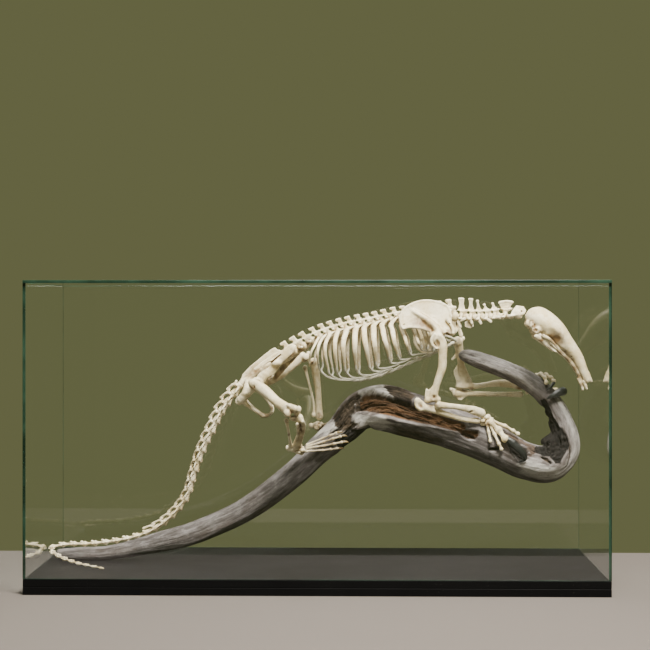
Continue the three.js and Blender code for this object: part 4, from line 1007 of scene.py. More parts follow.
# Rib cage: fifteen pairs of flat curved ribs, each hung on a vertebra by its head and knuckle. A bent rod
# of pale cartilage carries each one forward to the slender breastbone; the last pair ends free. A row has
# the rib's breadth, the places it passes and those of its rod: along, out from the middle, up.
RIB_WIDTHS = [0.62, 0.55, 0.86, 0.98, 1.0, 0.99, 0.95, 0.88, 0.78, 0.66, 0.54, 0.46]
ROD_WIDTHS = [2.6, 2.3, 2.0, 2.0, 1.8]
FAR_RIB_LEAD = [2, 3.4, 4.4, 4.4, 4]
RIB_STEPS, ROD_STEPS = 48, 40
RIB_SIDES, ROD_SIDES = 12, 10
RIB_ROWS = [
    (4.4, [(146, 11, 301.5), (146, 12.5, 296), (145.5, 13.5, 290), (143.5, 14, 284), (141, 10, 278)],
     [(140.5, 7, 274), (144, 4, 273.5), (149, 1.5, 274.5)]),
    (4.6, [(135, 12, 300.5), (136, 15, 294.5), (136.5, 18, 287.5), (136, 19, 280.5), (134.5, 13.5, 274.5)],
     [(135.5, 9.5, 272), (140.5, 5.5, 271.5), (146.5, 2, 273)]),
    (4.6,
     [(123.5, 13, 301.5), (124.5, 18, 294.5), (126.5, 22, 287.5), (127, 23, 280.5), (127.5, 16.5, 275.5)],
     [(129.5, 11.5, 273), (137, 6.5, 272.5), (144.5, 2.5, 273)]),
    (5.2,
     [(111.5, 14, 303), (113, 20.5, 296.5), (115.5, 25.5, 289), (118, 27, 281.5), (120.5, 19.5, 275.5)],
     [(122.5, 13.5, 273), (131, 7.5, 272), (141, 2.5, 272.5)]),
    (5.4, [(98, 15, 303), (99.5, 23, 294.5), (102, 28.5, 288), (104, 30, 280.5), (107.5, 21.5, 270)],
     [(110.5, 15, 267.5), (119.5, 8.5, 268), (130, 3, 269.5)]),
    (6.2, [(86, 16.5, 303.5), (87.5, 25, 296.5), (88.5, 31.5, 289.5), (90, 33, 281), (95, 24, 264.5)],
     [(97, 16.5, 262), (106.5, 9, 262.5), (118.5, 3.5, 265)]),
    (6.8, [(75.5, 17.5, 303.5), (76.5, 26.5, 296.5), (77.5, 33, 289), (80, 35, 280), (84.5, 25, 261.5)],
     [(86.5, 17.5, 258), (96, 10, 258), (108, 3.5, 261.5)]),
    (7.2, [(66, 18.5, 302.5), (65.5, 28, 296), (65.5, 35, 288), (66.5, 37, 278.5), (69, 26.5, 256)],
     [(71.5, 18.5, 252), (80.5, 10.5, 251.5), (96, 3.5, 256)]),
    (7.0, [(55, 19, 300.5), (54.5, 29, 294), (55, 36, 286.5), (56.5, 38, 277.5), (61.5, 27.5, 252)],
     [(64.5, 19, 249), (73.5, 10.5, 247.5), (88, 4, 251)]),
    (7.0, [(45.5, 19.5, 299.5), (44, 29.5, 293.5), (43.5, 37, 285.5), (43.5, 39, 275), (45.5, 28, 251)],
     [(49.5, 19.5, 245), (59.5, 11, 243), (78.5, 4, 247)]),
    (6.6, [(34.5, 19.5, 297.5), (32.5, 29.5, 292), (30.5, 37, 284.5), (30, 39, 274), (32.5, 28, 249.5)],
     [(35.5, 19.5, 244.5), (43, 11, 240), (64, 4, 242)]),
    (5.8, [(24.5, 19.5, 296), (22, 29.5, 290.5), (20.5, 37, 283), (20.5, 39, 271.5), (23, 28, 248)],
     [(25, 19.5, 243), (30, 11, 239.5), (47.5, 4, 238.5)]),
    (4.8, [(15.5, 19, 293), (12, 29, 287.5), (9.5, 36, 281), (9, 38, 270.5), (14, 27.5, 245.5)],
     [(17, 19, 242), (24, 10.5, 238.5), (38, 4, 237)]),
    (3.9, [(8, 18.5, 290), (4.5, 28, 285.5), (1.5, 35, 278.5), (0, 37, 269), (1.5, 26.5, 253.5)],
     [(4, 18.5, 247.5), (11, 10.5, 241.5), (26.5, 3.5, 237)]),
    (3.4, [(1, 17.5, 288), (-1.5, 26.5, 283), (-4.5, 33, 277), (-7.5, 35, 270.5), (-9.5, 25, 254.5)], []),
]
BREASTBONE_STOPS = [(143, -21, 272.5), (126.5, -20, 265.5), (109, -19.5, 258), (91.5, -18.5, 250),
                    (73.5, -17.5, 243), (52.5, -17, 238), (32, -16, 237)]

cartilage, pen = new_finish("dry_cartilage", 0.5, 0.4)
spot = own_place(pen)
cloud = noise(pen, spot, 0.008, 3)
feed(cartilage, Base_Color=cloud.rise(0.3, 0.7).blend(paint(172, 166, 146), paint(206, 200, 184)),
     Normal=bumped(pen, noise(pen, spot, 0.0015, 2), 0.0003, 0.5))

rib_bars = bpy.data.node_groups.new("rib_bars", "GeometryNodeTree")
pen, bars = sockets(rib_bars, {"Ribs": "Object", "Flatness": "Float", "Sides": "Int",
                               "Body Axis": "Vector", "Finish": "Material"})
lines = pen.make("GeometryNodeObjectInfo", {}, {"Object": bars["Ribs"]}, "Geometry")
lines = pen.make("GeometryNodeSetCurveNormal", {"mode": "FREE"},
                 {"Curve": lines, "Normal": bars["Body Axis"]})
ring_size = {"Resolution": bars["Sides"], "Radius": 0.5}
ring = pen.make("GeometryNodeCurvePrimitiveCircle", {}, ring_size, "Curve")
squash = pen.make("ShaderNodeCombineXYZ", {}, {"X": 1.0, "Y": bars["Flatness"], "Z": 1.0})
section = pen.make("GeometryNodeTransform", {}, {"Geometry": ring, "Scale": squash})
skin = pen.make("GeometryNodeCurveToMesh", {}, {
    "Curve": lines, "Profile Curve": section, "Fill Caps": True,
    "Scale": pen.make("GeometryNodeInputRadius")})
close_tree(pen, pen.make("GeometryNodeSetShadeSmooth", {}, {"Geometry": skin}), bars["Finish"])

chest_middles = stretch_of(backbone, NECK_END + CHEST_LENGTH / 2, CHEST_END - CHEST_LENGTH / 2, CHEST_BONES)


def rib_line(number, out):
    """The line of one rib with its width, from its head on the backbone to its lower end."""
    top, (breadth, places, _) = chest_middles[number + 1], RIB_ROWS[number]
    stops = [top + [1.5, out * 5, 0.6], top + [0.4, out * 10.4, 2.2]]
    lead = FAR_RIB_LEAD if out > 0 else [0] * len(places)
    stops += [(x + ahead, top[1] + out * aside, z) for (x, aside, z), ahead in zip(places, lead)]
    line = spaced(curve_through(stops, 12), RIB_STEPS)
    return np.column_stack([line, breadth * MM * between(RIB_WIDTHS, np.linspace(0, 1, RIB_STEPS))])


def cartilage_line(rib, number, out):
    """The rod of cartilage that carries a rib on, bent sharply forward."""
    middle = chest_middles[number + 1][1]
    stops = [rib[-5, :3], rib[-1, :3]]
    stops += [(x, middle + out * aside, z) for x, aside, z in RIB_ROWS[number][2]]
    line = spaced(curve_through(stops, 12), ROD_STEPS)
    return np.column_stack([line, MM * between(ROD_WIDTHS, np.linspace(0, 1, ROD_STEPS))])


for node, out in (("rib_cage_right", -1), ("rib_cage_left", 1)):
    ribs = [rib_line(number, out) for number in range(len(RIB_ROWS))]
    rods = [cartilage_line(ribs[number], number, out) for number in range(len(RIB_ROWS) - 1)]
    flat = grown(f"{node}_ribs", rib_bars, {
        "Ribs": path_object(f"{node}_lines", ribs), "Flatness": 0.5, "Sides": RIB_SIDES,
        "Body Axis": (1.0, 0.0, 0.0), "Finish": ivory})
    spots = np.zeros(3 * len(flat.vertices), np.float32)
    flat.vertices.foreach_get("co", spots)
    along = spots.reshape(-1, RIB_SIDES, 3)[..., 0]
    across = (along - along.mean(1, keepdims=True)) / np.ptp(along, axis=1)[:, None]
    # Painted shade along each rib's edge towards the tail and a painted highlight along its edge towards the
    # head, stored as hollow.
    give(flat, "hollow", 0.32 * rise(-across, 0.15, 0.5).ravel() - 0.35 * rise(across, 0.0, 0.4).ravel())
    # The far ribs are painted darker all over as painted shade, stored as stain.
    give(flat, "stain", np.full(across.size, 0.34 if out > 0 else 0.0))
    add_piece(flat, ivory, "bone", node)
    thin = grown(f"{node}_rods", rib_bars, {
        "Ribs": path_object(f"{node}_lines", rods), "Flatness": 0.8, "Sides": ROD_SIDES,
        "Body Axis": (1.0, 0.0, 0.0), "Finish": cartilage})
    add_piece(thin, cartilage, "bone")

sternum = Clay(0.45)
breastbone = stretch_of(curve_through(BREASTBONE_STOPS, 20), 0, 100, 9)
for one, other in zip(breastbone, breastbone[1:]):
    sternum.rod([0.96 * one + 0.04 * other, 0.04 * one + 0.96 * other], [2.3, 1.6, 1.6, 2.3], [0.8],
                soft=0.6)
# Its front piece, the two small bars that cross above it, and the thin end under the last ribs.
sternum.rod([breastbone[0], (151, -21, 277), (159, -20, 281.6)], [2.4, 2.2, 2.6], [1.3])
sternum.rod([(151, -27, 285.6), (156, -22, 284), (161, -15, 286)], [1.5, 1.7, 1.5])
sternum.rod([(150, -30, 290), (157, -25, 288), (163, -18, 284)], [1.5, 1.3, 1.6])
sternum.rod([breastbone[-1], breastbone[-1] + [-6, 0, -0.6], breastbone[-1] + [-13, 0, -0.4]],
            [1.9, 1.5, 0.8], [1.4])
add_piece(sternum.cast("breastbone"), cartilage, "bone")

# Skull and lower jaw: a smooth rounded braincase that runs out into a long bent tube of a snout, with no
# teeth. The open brown hollow behind the snout is the eye and temple. The jaw is a thin bar each side.
# Each stop has the place of its middle, its half height and its half width.
SKULL_STOPS = np.array([
    (252.4, -34.3, 311.8, 8.8, 10.4), (257, -34.6, 310.4, 14.4, 17.6), (264.4, -35, 305, 15.5, 20),
    (270.6, -35.5, 300.4, 14.8, 19.6), (276.9, -36, 295.3, 13.7, 18.4), (288.3, -36.7, 281.9, 10.9, 14.2),
    (295.3, -37.3, 273.9, 9.3, 11.3), (301.7, -37.8, 265.9, 7.9, 9.1), (307.6, -38.3, 254.6, 6.4, 7.4),
    (311.6, -38.7, 245.6, 5.4, 6.2), (314.8, -39, 239, 4.4, 5)])
SKULL_MIDDLE = -36.5
head = Clay(0.5)
skull_run = run_of(SKULL_STOPS)
heights, widths = (np.interp(np.linspace(0, skull_run[-1], 31), skull_run, SKULL_STOPS[:, k])
                   for k in (3, 4))
head.rod(SKULL_STOPS[:, :3], heights, widths / heights)
head.rod([(311, -38.8, 237), (314.2, -39, 228.6)], [2.6, 1.4], [1.3])
head.rod([(314, -38.8, 246), (319.4, -39.2, 237.4)], [3.8, 1.6], [1.2])
head.rod([(321, -39.2, 227), (315, -38.9, 238)], [2, 1.9], [1.35], soft=0.8, cut=True)
for out in (-1, 1):
    aside = lambda x, y, z: (x, SKULL_MIDDLE + out * y, z)
    head.rod([aside(271, 22.6, 293), aside(276.6, 22, 287.4), aside(283, 18.4, 281)], [6.4, 8, 5.6],
             [0.95], (0, 1, 0.2), 3, True)
    head.ball(aside(277, 17.6, 285), (5.4, 4.6, 4.6), 2.4, True)
    head.rod([aside(262, 16.4, 290.6), aside(270, 16.6, 286), aside(279.6, 14.6, 276)], [2.4, 1.7, 1.3],
             soft=2)
    head.ball(aside(254.6, 13.6, 296.4), (5.4, 4.6, 5), 3)
    head.ball(aside(253.6, 18.2, 297), (2.4, 2, 2.6), 1, True)
    head.ball(aside(248.4, 13.4, 303), (2.8, 3, 4.6), 2)
    head.ball(aside(259.4, 17.2, 294.6), (1.4, 2, 1.2), 0.8, True)
    head.ball(aside(250.4, 15.6, 305.4), (1.1, 2, 1.1), 0.7, True)
    head.ball(aside(264.4, 17.4, 292), (1, 2, 1), 0.6, True)
    head.ball(aside(246.4, 6, 305), (4, 3.4, 4.6), 1.4)
    head.ball(aside(295.6, 9.6, 266), (0.9, 2.4, 0.9), 0.6, True)
    head.rod([aside(284, 14.8, 291), aside(297, 10.4, 276), aside(309, 6.4, 256), aside(316, 4.4, 241)],
             [0.5, 0.4, 0.4, 0.4], soft=0.6, cut=True)
    head.rod([aside(268, 19.8, 311), aside(275, 18.8, 304), aside(282, 16, 298)], [0.45], soft=0.7, cut=True)
head.rod([(243, -34, 308), (251, -34.6, 306)], [3.6, 3], soft=0.8, cut=True)
head.rod([(257, -34.5, 324), (277, -36, 311.4), (300, -37.6, 281.6), (314, -38.6, 253)], [0.45], soft=0.6,
         cut=True)
# Along the underside of the snout these are painted shade. Those at the ear are real brown speckling, and
# those in the eye hollow are partly dried residue and partly painted shade.
skull_stains_and_shade = [(287, -46, 270, 7), (294, -45, 262, 6), (301, -44, 251, 5.5), (306, -42, 242, 4),
                (247.6, -50, 307, 5), (252, -52, 302, 5), (253, -53, 297, 6), (260, -54, 294, 6),
                (277, -52, 286.4, 12, 1.3), (271, -50.5, 289.6, 7), (281, -49.6, 283.6, 8),
                (277, -22, 286.4, 9), (253, -20, 297, 7), (284, -50, 278, 8, 0.5), (296, -42, 257, 6),
                (304, -41, 246, 5), (316, -39, 231, 3)]
add_piece(head.cast("skull_bone", skull_stains_and_shade, 0.06), ivory, "bone", "skull")

jaw = Clay(0.48)
for out in (-1, 1):
    aside = lambda x, y, z: (x, SKULL_MIDDLE - 0.6 + out * y, z)
    jaw.rod([aside(255.4, 14.5, 289.4), aside(263.9, 13.5, 283.9), aside(275, 9.4, 277.3),
             aside(284.2, 7, 271), aside(292.2, 5, 264.1), aside(299.9, 3.8, 254.4),
             aside(306.2, 2.6, 242.6), aside(308.6, 1.9, 231.9), aside(309.8, 1.2, 227.4)],
            [3, 2.8, 2.4, 2.4, 2.5, 2.6, 2.5, 2, 1.1], [0.6, 0.6, 0.7, 0.8, 0.9])
    jaw.rod([aside(258.1, 14.6, 292.2), aside(269, 14.2, 282.4), aside(279.5, 11.4, 272.8)], [1.3, 1.0, 0.9])
    jaw.plate([(255.6, 290.6), (268.4, 280.6), (279, 271.4), (276, 271.4), (264, 280), (254.6, 288)],
              (0, SKULL_MIDDLE - 0.6 + out * 13.4, 0), (1, 0, 0), UP, 0.7)
    jaw.ball(aside(254.4, 14.6, 290), (2.8, 2.2, 2.4))
jaw.rod([(304.6, -39, 240), (309.6, -39.2, 228)], [1.9, 1.3], [1.4])
# The jaw is painted brown along its length: partly stain, partly painted shade where it lies under the
# snout.
jaw_stains_and_shade = [(260, -52, 285, 5), (270, -48, 278, 6), (281, -45, 270, 8), (290, -43, 262, 9),
              (298, -41, 252, 8), (304, -41, 243, 7), (308, -40, 233, 4)]
add_piece(jaw.cast("jaw_bone", jaw_stains_and_shade, 0.06), ivory, "bone", "mandible")

# Shoulder blades: a thin bowed fan of bone on each side. A raised ridge crosses it beside a shallow
# hollow, and the shallow cup at its foot takes the head of the upper arm.
BLADE_OUTLINE = [(-5, -1), (-8, 7), (-15, 9.5), (-23, 11), (-32, 11.4), (-38.6, 10), (-41, 16),
                 (-41.3, 21), (-40.6, 27), (-38.4, 31.6), (-35, 35.8), (-30, 39.2), (-24, 42), (-17, 43.9),
                 (-9, 44.5), (0, 43.2), (8, 40.8), (13.4, 37.6), (16.4, 32), (17.8, 25), (18.2, 18),
                 (19.4, 11), (20.6, 5), (17, 3.4), (12, 5.5), (7, 3), (4.5, -1)]
BLADE_LEAN = 0.33


def shoulder_blade(joint, out, turn):
    """One shoulder blade on its joint, leaning inward and turned in its own plane."""
    clay = Clay(0.45)
    ahead = np.array([1.0, 0, 0])
    rising = np.array([0, -out * math.sin(BLADE_LEAN), math.cos(BLADE_LEAN)])
    outer = np.array([0, out * math.cos(BLADE_LEAN), math.sin(BLADE_LEAN)])
    right = math.cos(turn) * ahead + math.sin(turn) * rising
    up = math.cos(turn) * rising - math.sin(turn) * ahead
    at = lambda a, b, c: np.array(joint) + a * right + b * up + c * outer
    clay.plate(BLADE_OUTLINE, joint, right, up, 0.8, 1.6 * out, soft=1)
    rim = [at(a, b, 0) for a, b in BLADE_OUTLINE[1:20]]
    clay.rod(rim, [1.3, 1.1, 1.0, 1.0, 1.0, 1.0, 1.2], soft=1.8)
    clay.rod([at(-26, 31, 0.4), at(-13, 22, 0.9), at(0, 9.4, 1.8), at(3, 3, 1.6)], [1, 2.4, 3, 3.4],
             soft=4.5)
    clay.rod([at(13, 20, 2.4), at(19, 10, 2.6), at(19.6, 3.5, 3)], [2.2, 1.7, 1.5], soft=1.5)
    clay.ball(at(0.4, 1.6, 0), (7, 5.4, 5), 2)
    clay.ball(at(0.4, -6.4, 0), (7.6, 7, 7), 0.7, True)
    for a, b, c, size in [(10.7, 23.4, 3, 1.3), (12, 7, 2.4, 1.5), (-37.2, 14.6, 1, 0.9),
                          (15.4, 15, 3, 0.9)]:
        clay.ball(at(a, b, c), (size, 2.4, size), 0.6, True)
    clay.rod([at(9, 18, 4.2), at(15.5, 9, 4.2)], [1.3, 1.0], soft=1.4, cut=True)
    # The three large stains along the hollow beside the ridge are painted shade. The first stain is a real
    # brown spot.
    return clay, [(*at(-2.4, 24, 3), 3.4), (*at(9, 4, 3), 5), (*at(-6, 9, 1), 4), (*at(15, 6, 2), 4),
                  (*at(-7, 11, 0), 9, 1.2), (*at(-15, 16, 0), 10, 1.3), (*at(-23, 18, 0), 10, 0.9),
                  (*at(13, 20, 3), 4, 0.5)]


for node, joint, out, turn in (("scapula_r", (138, -56, 289.5), -1, 0.0),
                               ("scapula_l", (164, 16, 293.6), 1, 1.05)):
    clay, stains = shoulder_blade(joint, out, turn)
    # The far blade is seen nearly edge on, so its front border is built up.
    if out > 0:
        clay.rod([(162, 13, 316), (164.3, 14, 314.4), (168, 15, 302), (171.6, 16, 290.4)],
                 [1.4, 2, 1.9, 2.4], [0.6])
    add_piece(clay.cast(f"{node}_bone", stains, 0.06), ivory, "bone", node)

# Long bones of the limbs, each a shaft with swollen ends that meet at the joint. Every row gives the bars
# of one bone as stops, radii and flatness, then any plates, its balls, any hollows and its stains.
LIMBS = {
    "humerus_r": dict(
        bars=[([(139, -58, 286), (144.2, -60, 279), (145, -60, 263), (144.4, -60, 253), (140.2, -59, 240),
                (136, -57.5, 225), (135, -56.5, 218)], [6, 5.8, 5, 4.9, 4.8, 4.4, 4, 4, 5], [0.9]),
              ([(136, -62, 292), (132.6, -62, 286.5), (133.4, -62.5, 280.5), (138.4, -63, 277)],
               [1.8, 1.9, 1.7, 1.6], [0.8]),
              ([(142, -61, 290), (146.4, -61, 283), (146.4, -62, 262), (145, -62, 251)],
               [3.6, 3, 1.8, 1.2], [0.9]), ([(128, -56.5, 216), (139, -55.5, 216.5)], [3.6, 4.2], [1])],
        plates=[([(126, 229.6), (129.4, 228), (134, 232), (136, 222), (134, 214.6), (126, 216),
                  (124.6, 221)], -57.5, 1.5)],
        balls=[((138.6, -56.5, 287), (7, 6.4, 6.8))],
        hollows=[((138.4, -66.4, 281.6), (4, 5.2, 6.4)), ((134.6, -61.5, 219.5), (2.2, 2, 2.6)),
                 ((134.4, -57, 210.8), (5, 9, 3))],
        stains=[(134, -59, 214, 6), (138.4, -62, 281.6, 5, 0.8), (136, -60, 221, 3)]),
    "ulna_r": dict(
        bars=[([(118, -57, 209.6), (133, -54, 204.9), (149, -46, 199.4), (172, -33, 192), (188, -24, 190)],
               [4.6, 4, 3.6, 3.3, 3, 3, 3.6], [0.8]),
              ([(131, -55, 208.4), (137, -53.6, 208.6)], [2.6, 2.4], [1])],
        plates=[([(113, 215), (115, 218.4), (118, 218.6), (124, 213.4), (127, 208), (122, 204), (119, 204),
                  (115.4, 207), (113, 211)], -57, 1.5)],
        balls=[((115.4, -57, 215), (2.6, 2.8, 3.4)), ((119.8, -57, 205), (2.2, 2.4, 1.8))],
        hollows=[((119.4, -60.4, 210.6), (3.6, 2.4, 4)), ((133.6, -56, 216.4), (6, 9, 6))],
        stains=[(132, -57, 210.5, 5), (120, -59, 209, 3)]),
    "radius_r": dict(
        bars=[([(140, -56, 210.4), (150, -52, 209.2), (166, -44, 207), (183, -32, 202.2),
                (192.4, -26, 199)], [4.4, 3.4, 3.2, 3.3, 3.8, 4.8, 5.2], [0.75]),
              ([(172, -41, 208), (184, -33, 205.6), (193, -27, 202)], [1.2, 1.8, 2], [0.7])],
        balls=[((140.2, -56, 210.6), (3.6, 4.6, 4.8))],
        hollows=[((135, -57, 217), (5.4, 9, 5.4)), ((182, -37.6, 201), (5, 2, 2))],
        stains=[(138, -59, 210, 4)]),
    "humerus_l": dict(
        bars=[([(168, 18, 282), (169.6, 20, 273), (171.4, 22, 259), (175, 24.5, 243), (177.6, 26, 231)],
               [5.8, 4.8, 4, 4, 5, 6], [1, 1, 0.9, 0.6, 0.5]),
              ([(168.4, 27, 228), (187, 27, 229)], [3, 3.5], [1]),
              ([(168, 20.5, 268), (161.6, 20.5, 261)], [2.4, 1.4], [0.6])],
        plates=[([(170, 258), (163, 246.6), (163.4, 243.5), (166, 236), (167, 227.6), (178, 226),
                  (187, 230), (184.4, 237), (178, 250), (174, 260)], 24.5, 1.4)],
        balls=[((167, 17, 282.4), (6.4, 6.2, 6.2)), ((174, 18, 286), (2.4, 2.6, 2.8))],
        hollows=[((180, 21.4, 233), (3, 2, 4)), ((170.4, 21.6, 236), (2.4, 1.4, 6))],
        stains=[(181, 23, 232, 6, 0.5), (168, 23, 234, 5, 0.5), (168, 13, 284, 5)]),
    "ulna_l": dict(
        bars=[([(167, 30, 219.6), (184, 30.5, 219.2), (214, 29, 218.6), (244, 26.5, 218.6)],
               [4.6, 3.5, 3, 2.8, 2.9, 3.4], [0.8])],
        plates=[([(158.6, 226), (166, 224.6), (173, 225), (181, 223), (179, 216), (173, 211),
                  (169.4, 211.6), (163.6, 217.4)], 30.5, 1.6)],
        balls=[((161, 30.4, 223.8), (2.6, 2.6, 2.4))], hollows=[((178, 27, 229.6), (6, 8, 5.4))],
        stains=[(177, 27, 224, 5)]),
    "radius_l": dict(
        bars=[([(184.6, 27, 227.6), (198, 26, 229.6), (218, 25.5, 232), (231, 25, 231.2),
                (244, 24.5, 227.6)], [3.8, 3, 3.2, 4.2, 4.8, 4.4, 3.8], [0.65])],
        balls=[((184.6, 27, 227.6), (3.2, 3.6, 3.8))], hollows=[((210, 21.6, 230), (14, 2, 1.4))],
        stains=[(185, 25, 226, 4), (242, 22, 226, 5)]),
    "femur_r": dict(
        bars=[([(-73, -40, 232.6), (-62, -49, 226.6), (-46.4, -64, 214), (-33, -81, 206.2)],
               [6.2, 6.6, 6, 5.6, 6, 6.8], [0.9]), ([(-74, -40, 232), (-72, -30, 233)], [5.2, 4.6], [1]),
              ([(-77, -42, 236), (-68, -46, 233.4), (-58, -56, 225.6)], [3.6, 2.8, 1.4], [1]),
              ([(-34, -82, 209.4), (-25, -89, 208)], [4, 4], [1])],
        balls=[((-72, -29.6, 233), 5.2), ((-77, -42, 234.6), (4, 4.4, 5)),
               ((-23.4, -84, 205), (5, 5, 5.6)), ((-33, -86, 202.4), (5, 5, 5)),
               ((-20.4, -91.4, 207.4), (3, 2.6, 3.8)), ((-31, -86, 211), (3.4, 4, 2.4))],
        hollows=[((-27.6, -84, 199), (2.2, 8, 4)), ((-75, -47.4, 229.6), (2.4, 2, 2.8)),
                 ((-29.4, -92, 204.6), (2.6, 3, 2.2)), ((-27, -90, 199), (2.6, 3, 2))],
        stains=[(-29, -89, 203.6, 6), (-27.6, -86, 198.6, 7), (-75, -46, 230, 4), (-72, -33, 233, 6),
                (-30, -86, 205, 13, 0.4), (-58, -52, 221, 8, 0.3)]),
    "tibia_r": dict(
        bars=[([(-20.6, -80.6, 196.6), (-18, -66, 188.6), (-18.8, -53, 181.6), (-25.4, -24, 160)],
               [5.2, 4.2, 3.8, 3.6, 3.8, 4.6], [0.9]),
              ([(-22.6, -83, 190), (-22.4, -66, 183.6), (-22.8, -53, 176), (-26.4, -28, 162)],
               [1.7, 1.3, 1.2, 1.4], [0.9]),
              ([(-16.4, -83, 193), (-14.4, -66, 187), (-15.4, -52, 179), (-20.6, -28, 161)],
               [1.9, 1.3, 1.1, 1.3], [0.9])],
        balls=[((-24.6, -80.8, 196.4), (7, 5.2, 3.4)), ((-21.6, -23.4, 159.6), (3.6, 4, 3.8))],
        hollows=[((-19.4, -74, 186), (1.6, 7, 5)), ((-19, -60, 178.6), (1.8, 6, 8))],
        stains=[(-25, -86, 197, 5.4), (-23, -26, 161, 6), (-19, -70, 184, 5.5), (-19, -57, 177, 7),
                (-22, -40, 170, 9, 0.5)]),
    "fibula_r": dict(
        bars=[([(-34.7, -80, 193.6), (-33, -54, 176.6), (-32, -25, 160.6)], [2.4, 1.6, 1.5, 1.6, 2.2],
               [1])],
        balls=[((-35, -80.4, 194), (2.6, 2.8, 2.8)), ((-32.4, -24.6, 160.4), (2.4, 2.8, 2.8))],
        stains=[(-34.6, -82, 193, 3), (-33, -55, 176, 5)]),
    "femur_l": dict(
        bars=[([(-74, 20, 229.6), (-50, 31, 238.6), (-35, 34, 250), (-20, 34.6, 264)],
               [5.4, 5.2, 4.6, 4.4, 4.8, 5.4], [0.9]), ([(-74, 20, 230), (-72, 14, 233)], [5, 4.6], [1])],
        balls=[((-72, 13.6, 233), 5.2), ((-80, 21, 230), (4, 4.4, 4.8)), ((-15.6, 31, 263), 4.6),
               ((-18, 40, 261), 4.6), ((-12.4, 35, 267.4), (2.6, 3.2, 3))],
        hollows=[((-15, 35.6, 257), (6, 2.2, 3))],
        stains=[(-15, 32, 260, 5), (-72, 17, 233, 6), (-60, 25, 236, 6)]),
    "tibia_l": dict(
        bars=[([(-5.4, 36, 257), (-1.6, 36, 229), (0.8, 33, 192)], [5.4, 4.8, 4.2, 3.9, 3.9, 4.6], [0.9])],
        balls=[((-7.4, 36.4, 257.6), (6, 6.2, 3.6)), ((0.6, 32.6, 191), (4.2, 4.2, 4))],
        stains=[(-7, 31, 256, 5), (0, 28, 193, 4)]),
    "fibula_l": dict(
        bars=[([(-16.9, 43, 250), (-10.8, 42, 226.3), (-5.6, 37, 204), (-5.8, 35, 194)],
               [2.4, 1.6, 1.4, 1.5, 2.3], [1])],
        balls=[((-16.8, 43, 250.4), (2.6, 2.8, 2.8)), ((-6.2, 34.4, 192.6), (2.8, 3, 3))],
        stains=[(-17, 41, 248, 3)]),
}
for node, bone in LIMBS.items():
    clay = Clay(0.45)
    for stops, radii, flatness in bone["bars"]:
        clay.rod(stops, radii, flatness, soft=1.6)
    for outline, depth, half in bone.get("plates", []):
        clay.plate(outline, (0, depth, 0), (1, 0, 0), UP, half, soft=2)
    for centre, radii in bone["balls"]:
        clay.ball(centre, radii, 1.6)
    for centre, radii in bone.get("hollows", []):
        clay.ball(centre, radii, 1.0, True)
    add_piece(clay.cast(f"{node}_bone", bone["stains"]), ivory, "bone", node)

# Hands: a cluster of small wrist bones and four digits spread over the wood. The third is the stoutest
# and ends in the great hooked claw, a dark glossy sheath of horn.
LOG_SWELL = 1.08


def on_log(x, z, face, lift):
    """A place on the near or the far face of the log, raised a little from the wood."""
    gaps = np.hypot(log_line[:, 0] - x, log_line[:, 2] - z)
    stop = int(np.argmin(gaps))
    depth = math.sqrt(max(0, (log_line[stop, 3] * LOG_SWELL) ** 2 - gaps[stop] ** 2))
    return (x, log_line[stop, 1] + face * (depth + lift), z)


def digit(clay, stops, radius):
    """A row of slender bones from joint to joint, each with knuckled ends."""
    for one, other in zip(np.array(stops[:-1], float), np.array(stops[1:], float)):
        gap = 0.3 * unit(other - one)
        clay.rod([one + gap, other - gap],
                 [1.15 * radius, 0.86 * radius, 0.74 * radius, 0.8 * radius, 1.12 * radius], soft=0.5)
        clay.ball(other - 1.2 * gap, 1.16 * radius, 0.6)


def wrist(clay, core, size, seed):
    """A close cluster of small rounded bones about a place."""
    core, size = np.array(core, float), np.array(size, float)
    for k in range(9):
        turn = 2.4 * k + seed
        level = (k - 4) / 4.5
        wide = math.sqrt(1 - level * level)
        offset = np.array([wide * math.cos(turn), wide * math.sin(turn), level]) * size * 0.66
        clay.ball(core + offset, size * (0.4 + 0.07 * math.sin(5 * turn)), 0.5)


near_hand = Clay(0.4)
wrist(near_hand, (199, -22, 190.5), (8.4, 6.6, 7.6), 0.4)
digit(near_hand, [(199, -26, 187), on_log(201, 177, -1, 3.4), on_log(203, 166, -1, 3)], 1.7)
digit(near_hand,
      [(202, -26, 186), on_log(208, 174, -1, 3.6), on_log(213, 163, -1, 3.4), on_log(216, 157, -1, 2.8)],
      1.8)
digit(near_hand, [(203, -25, 188), on_log(213, 179, -1, 6), on_log(220.4, 169, -1, 6)], 4)
digit(near_hand,
      [(205, -20, 190), on_log(221, 183.4, -1, 15), on_log(231, 177.4, -1, 12), on_log(237, 173.6, -1, 9)],
      2.2)
add_piece(near_hand.cast("near_hand_bones", [(200, -27, 186, 5), (*on_log(213, 179, -1, 8), 3)]), ivory,
          "bone", "hand_r")
far_hand = Clay(0.4)
wrist(far_hand, (256, 25, 225), (8.4, 6.6, 8.2), 1.1)
digit(far_hand, [(257, 24, 230), (262, 17, 242), (266, 6, 244), (270, -4, 240), (271, -9, 234)], 2.3)
digit(far_hand, [(258, 24, 231), (265, 16, 242), (272, 5, 243), (277, -3, 239.4), (280, -6.4, 235.6)], 2.6)
digit(far_hand, [(260, 25, 226), (275, 24, 226), (286, 14, 224), (289.4, 4, 222.6)], 2.7)
digit(far_hand, [(260, 26, 224), (272, 26, 226), (286, 20, 220)], 2.2)
add_piece(far_hand.cast("far_hand_bones",
                        [(256, 20, 226, 6), (268, 0, 240, 12, 0.35), (276, -5, 237, 9, 0.3)]), ivory,
          "bone", "hand_l")

dark_horn, pen = new_finish("dark_horn", 0.3)
spot = own_place(pen)
layer = noise(pen, stretched(pen, spot, (1, 1, 2.5)), 0.004, 3)
feed(dark_horn, Base_Color=layer.rise(0.35, 0.7).blend(paint(12, 13, 13), paint(38, 40, 38)),
     Roughness=0.2 + 0.25 * layer, Normal=bumped(pen, layer, 0.0003, 0.5))


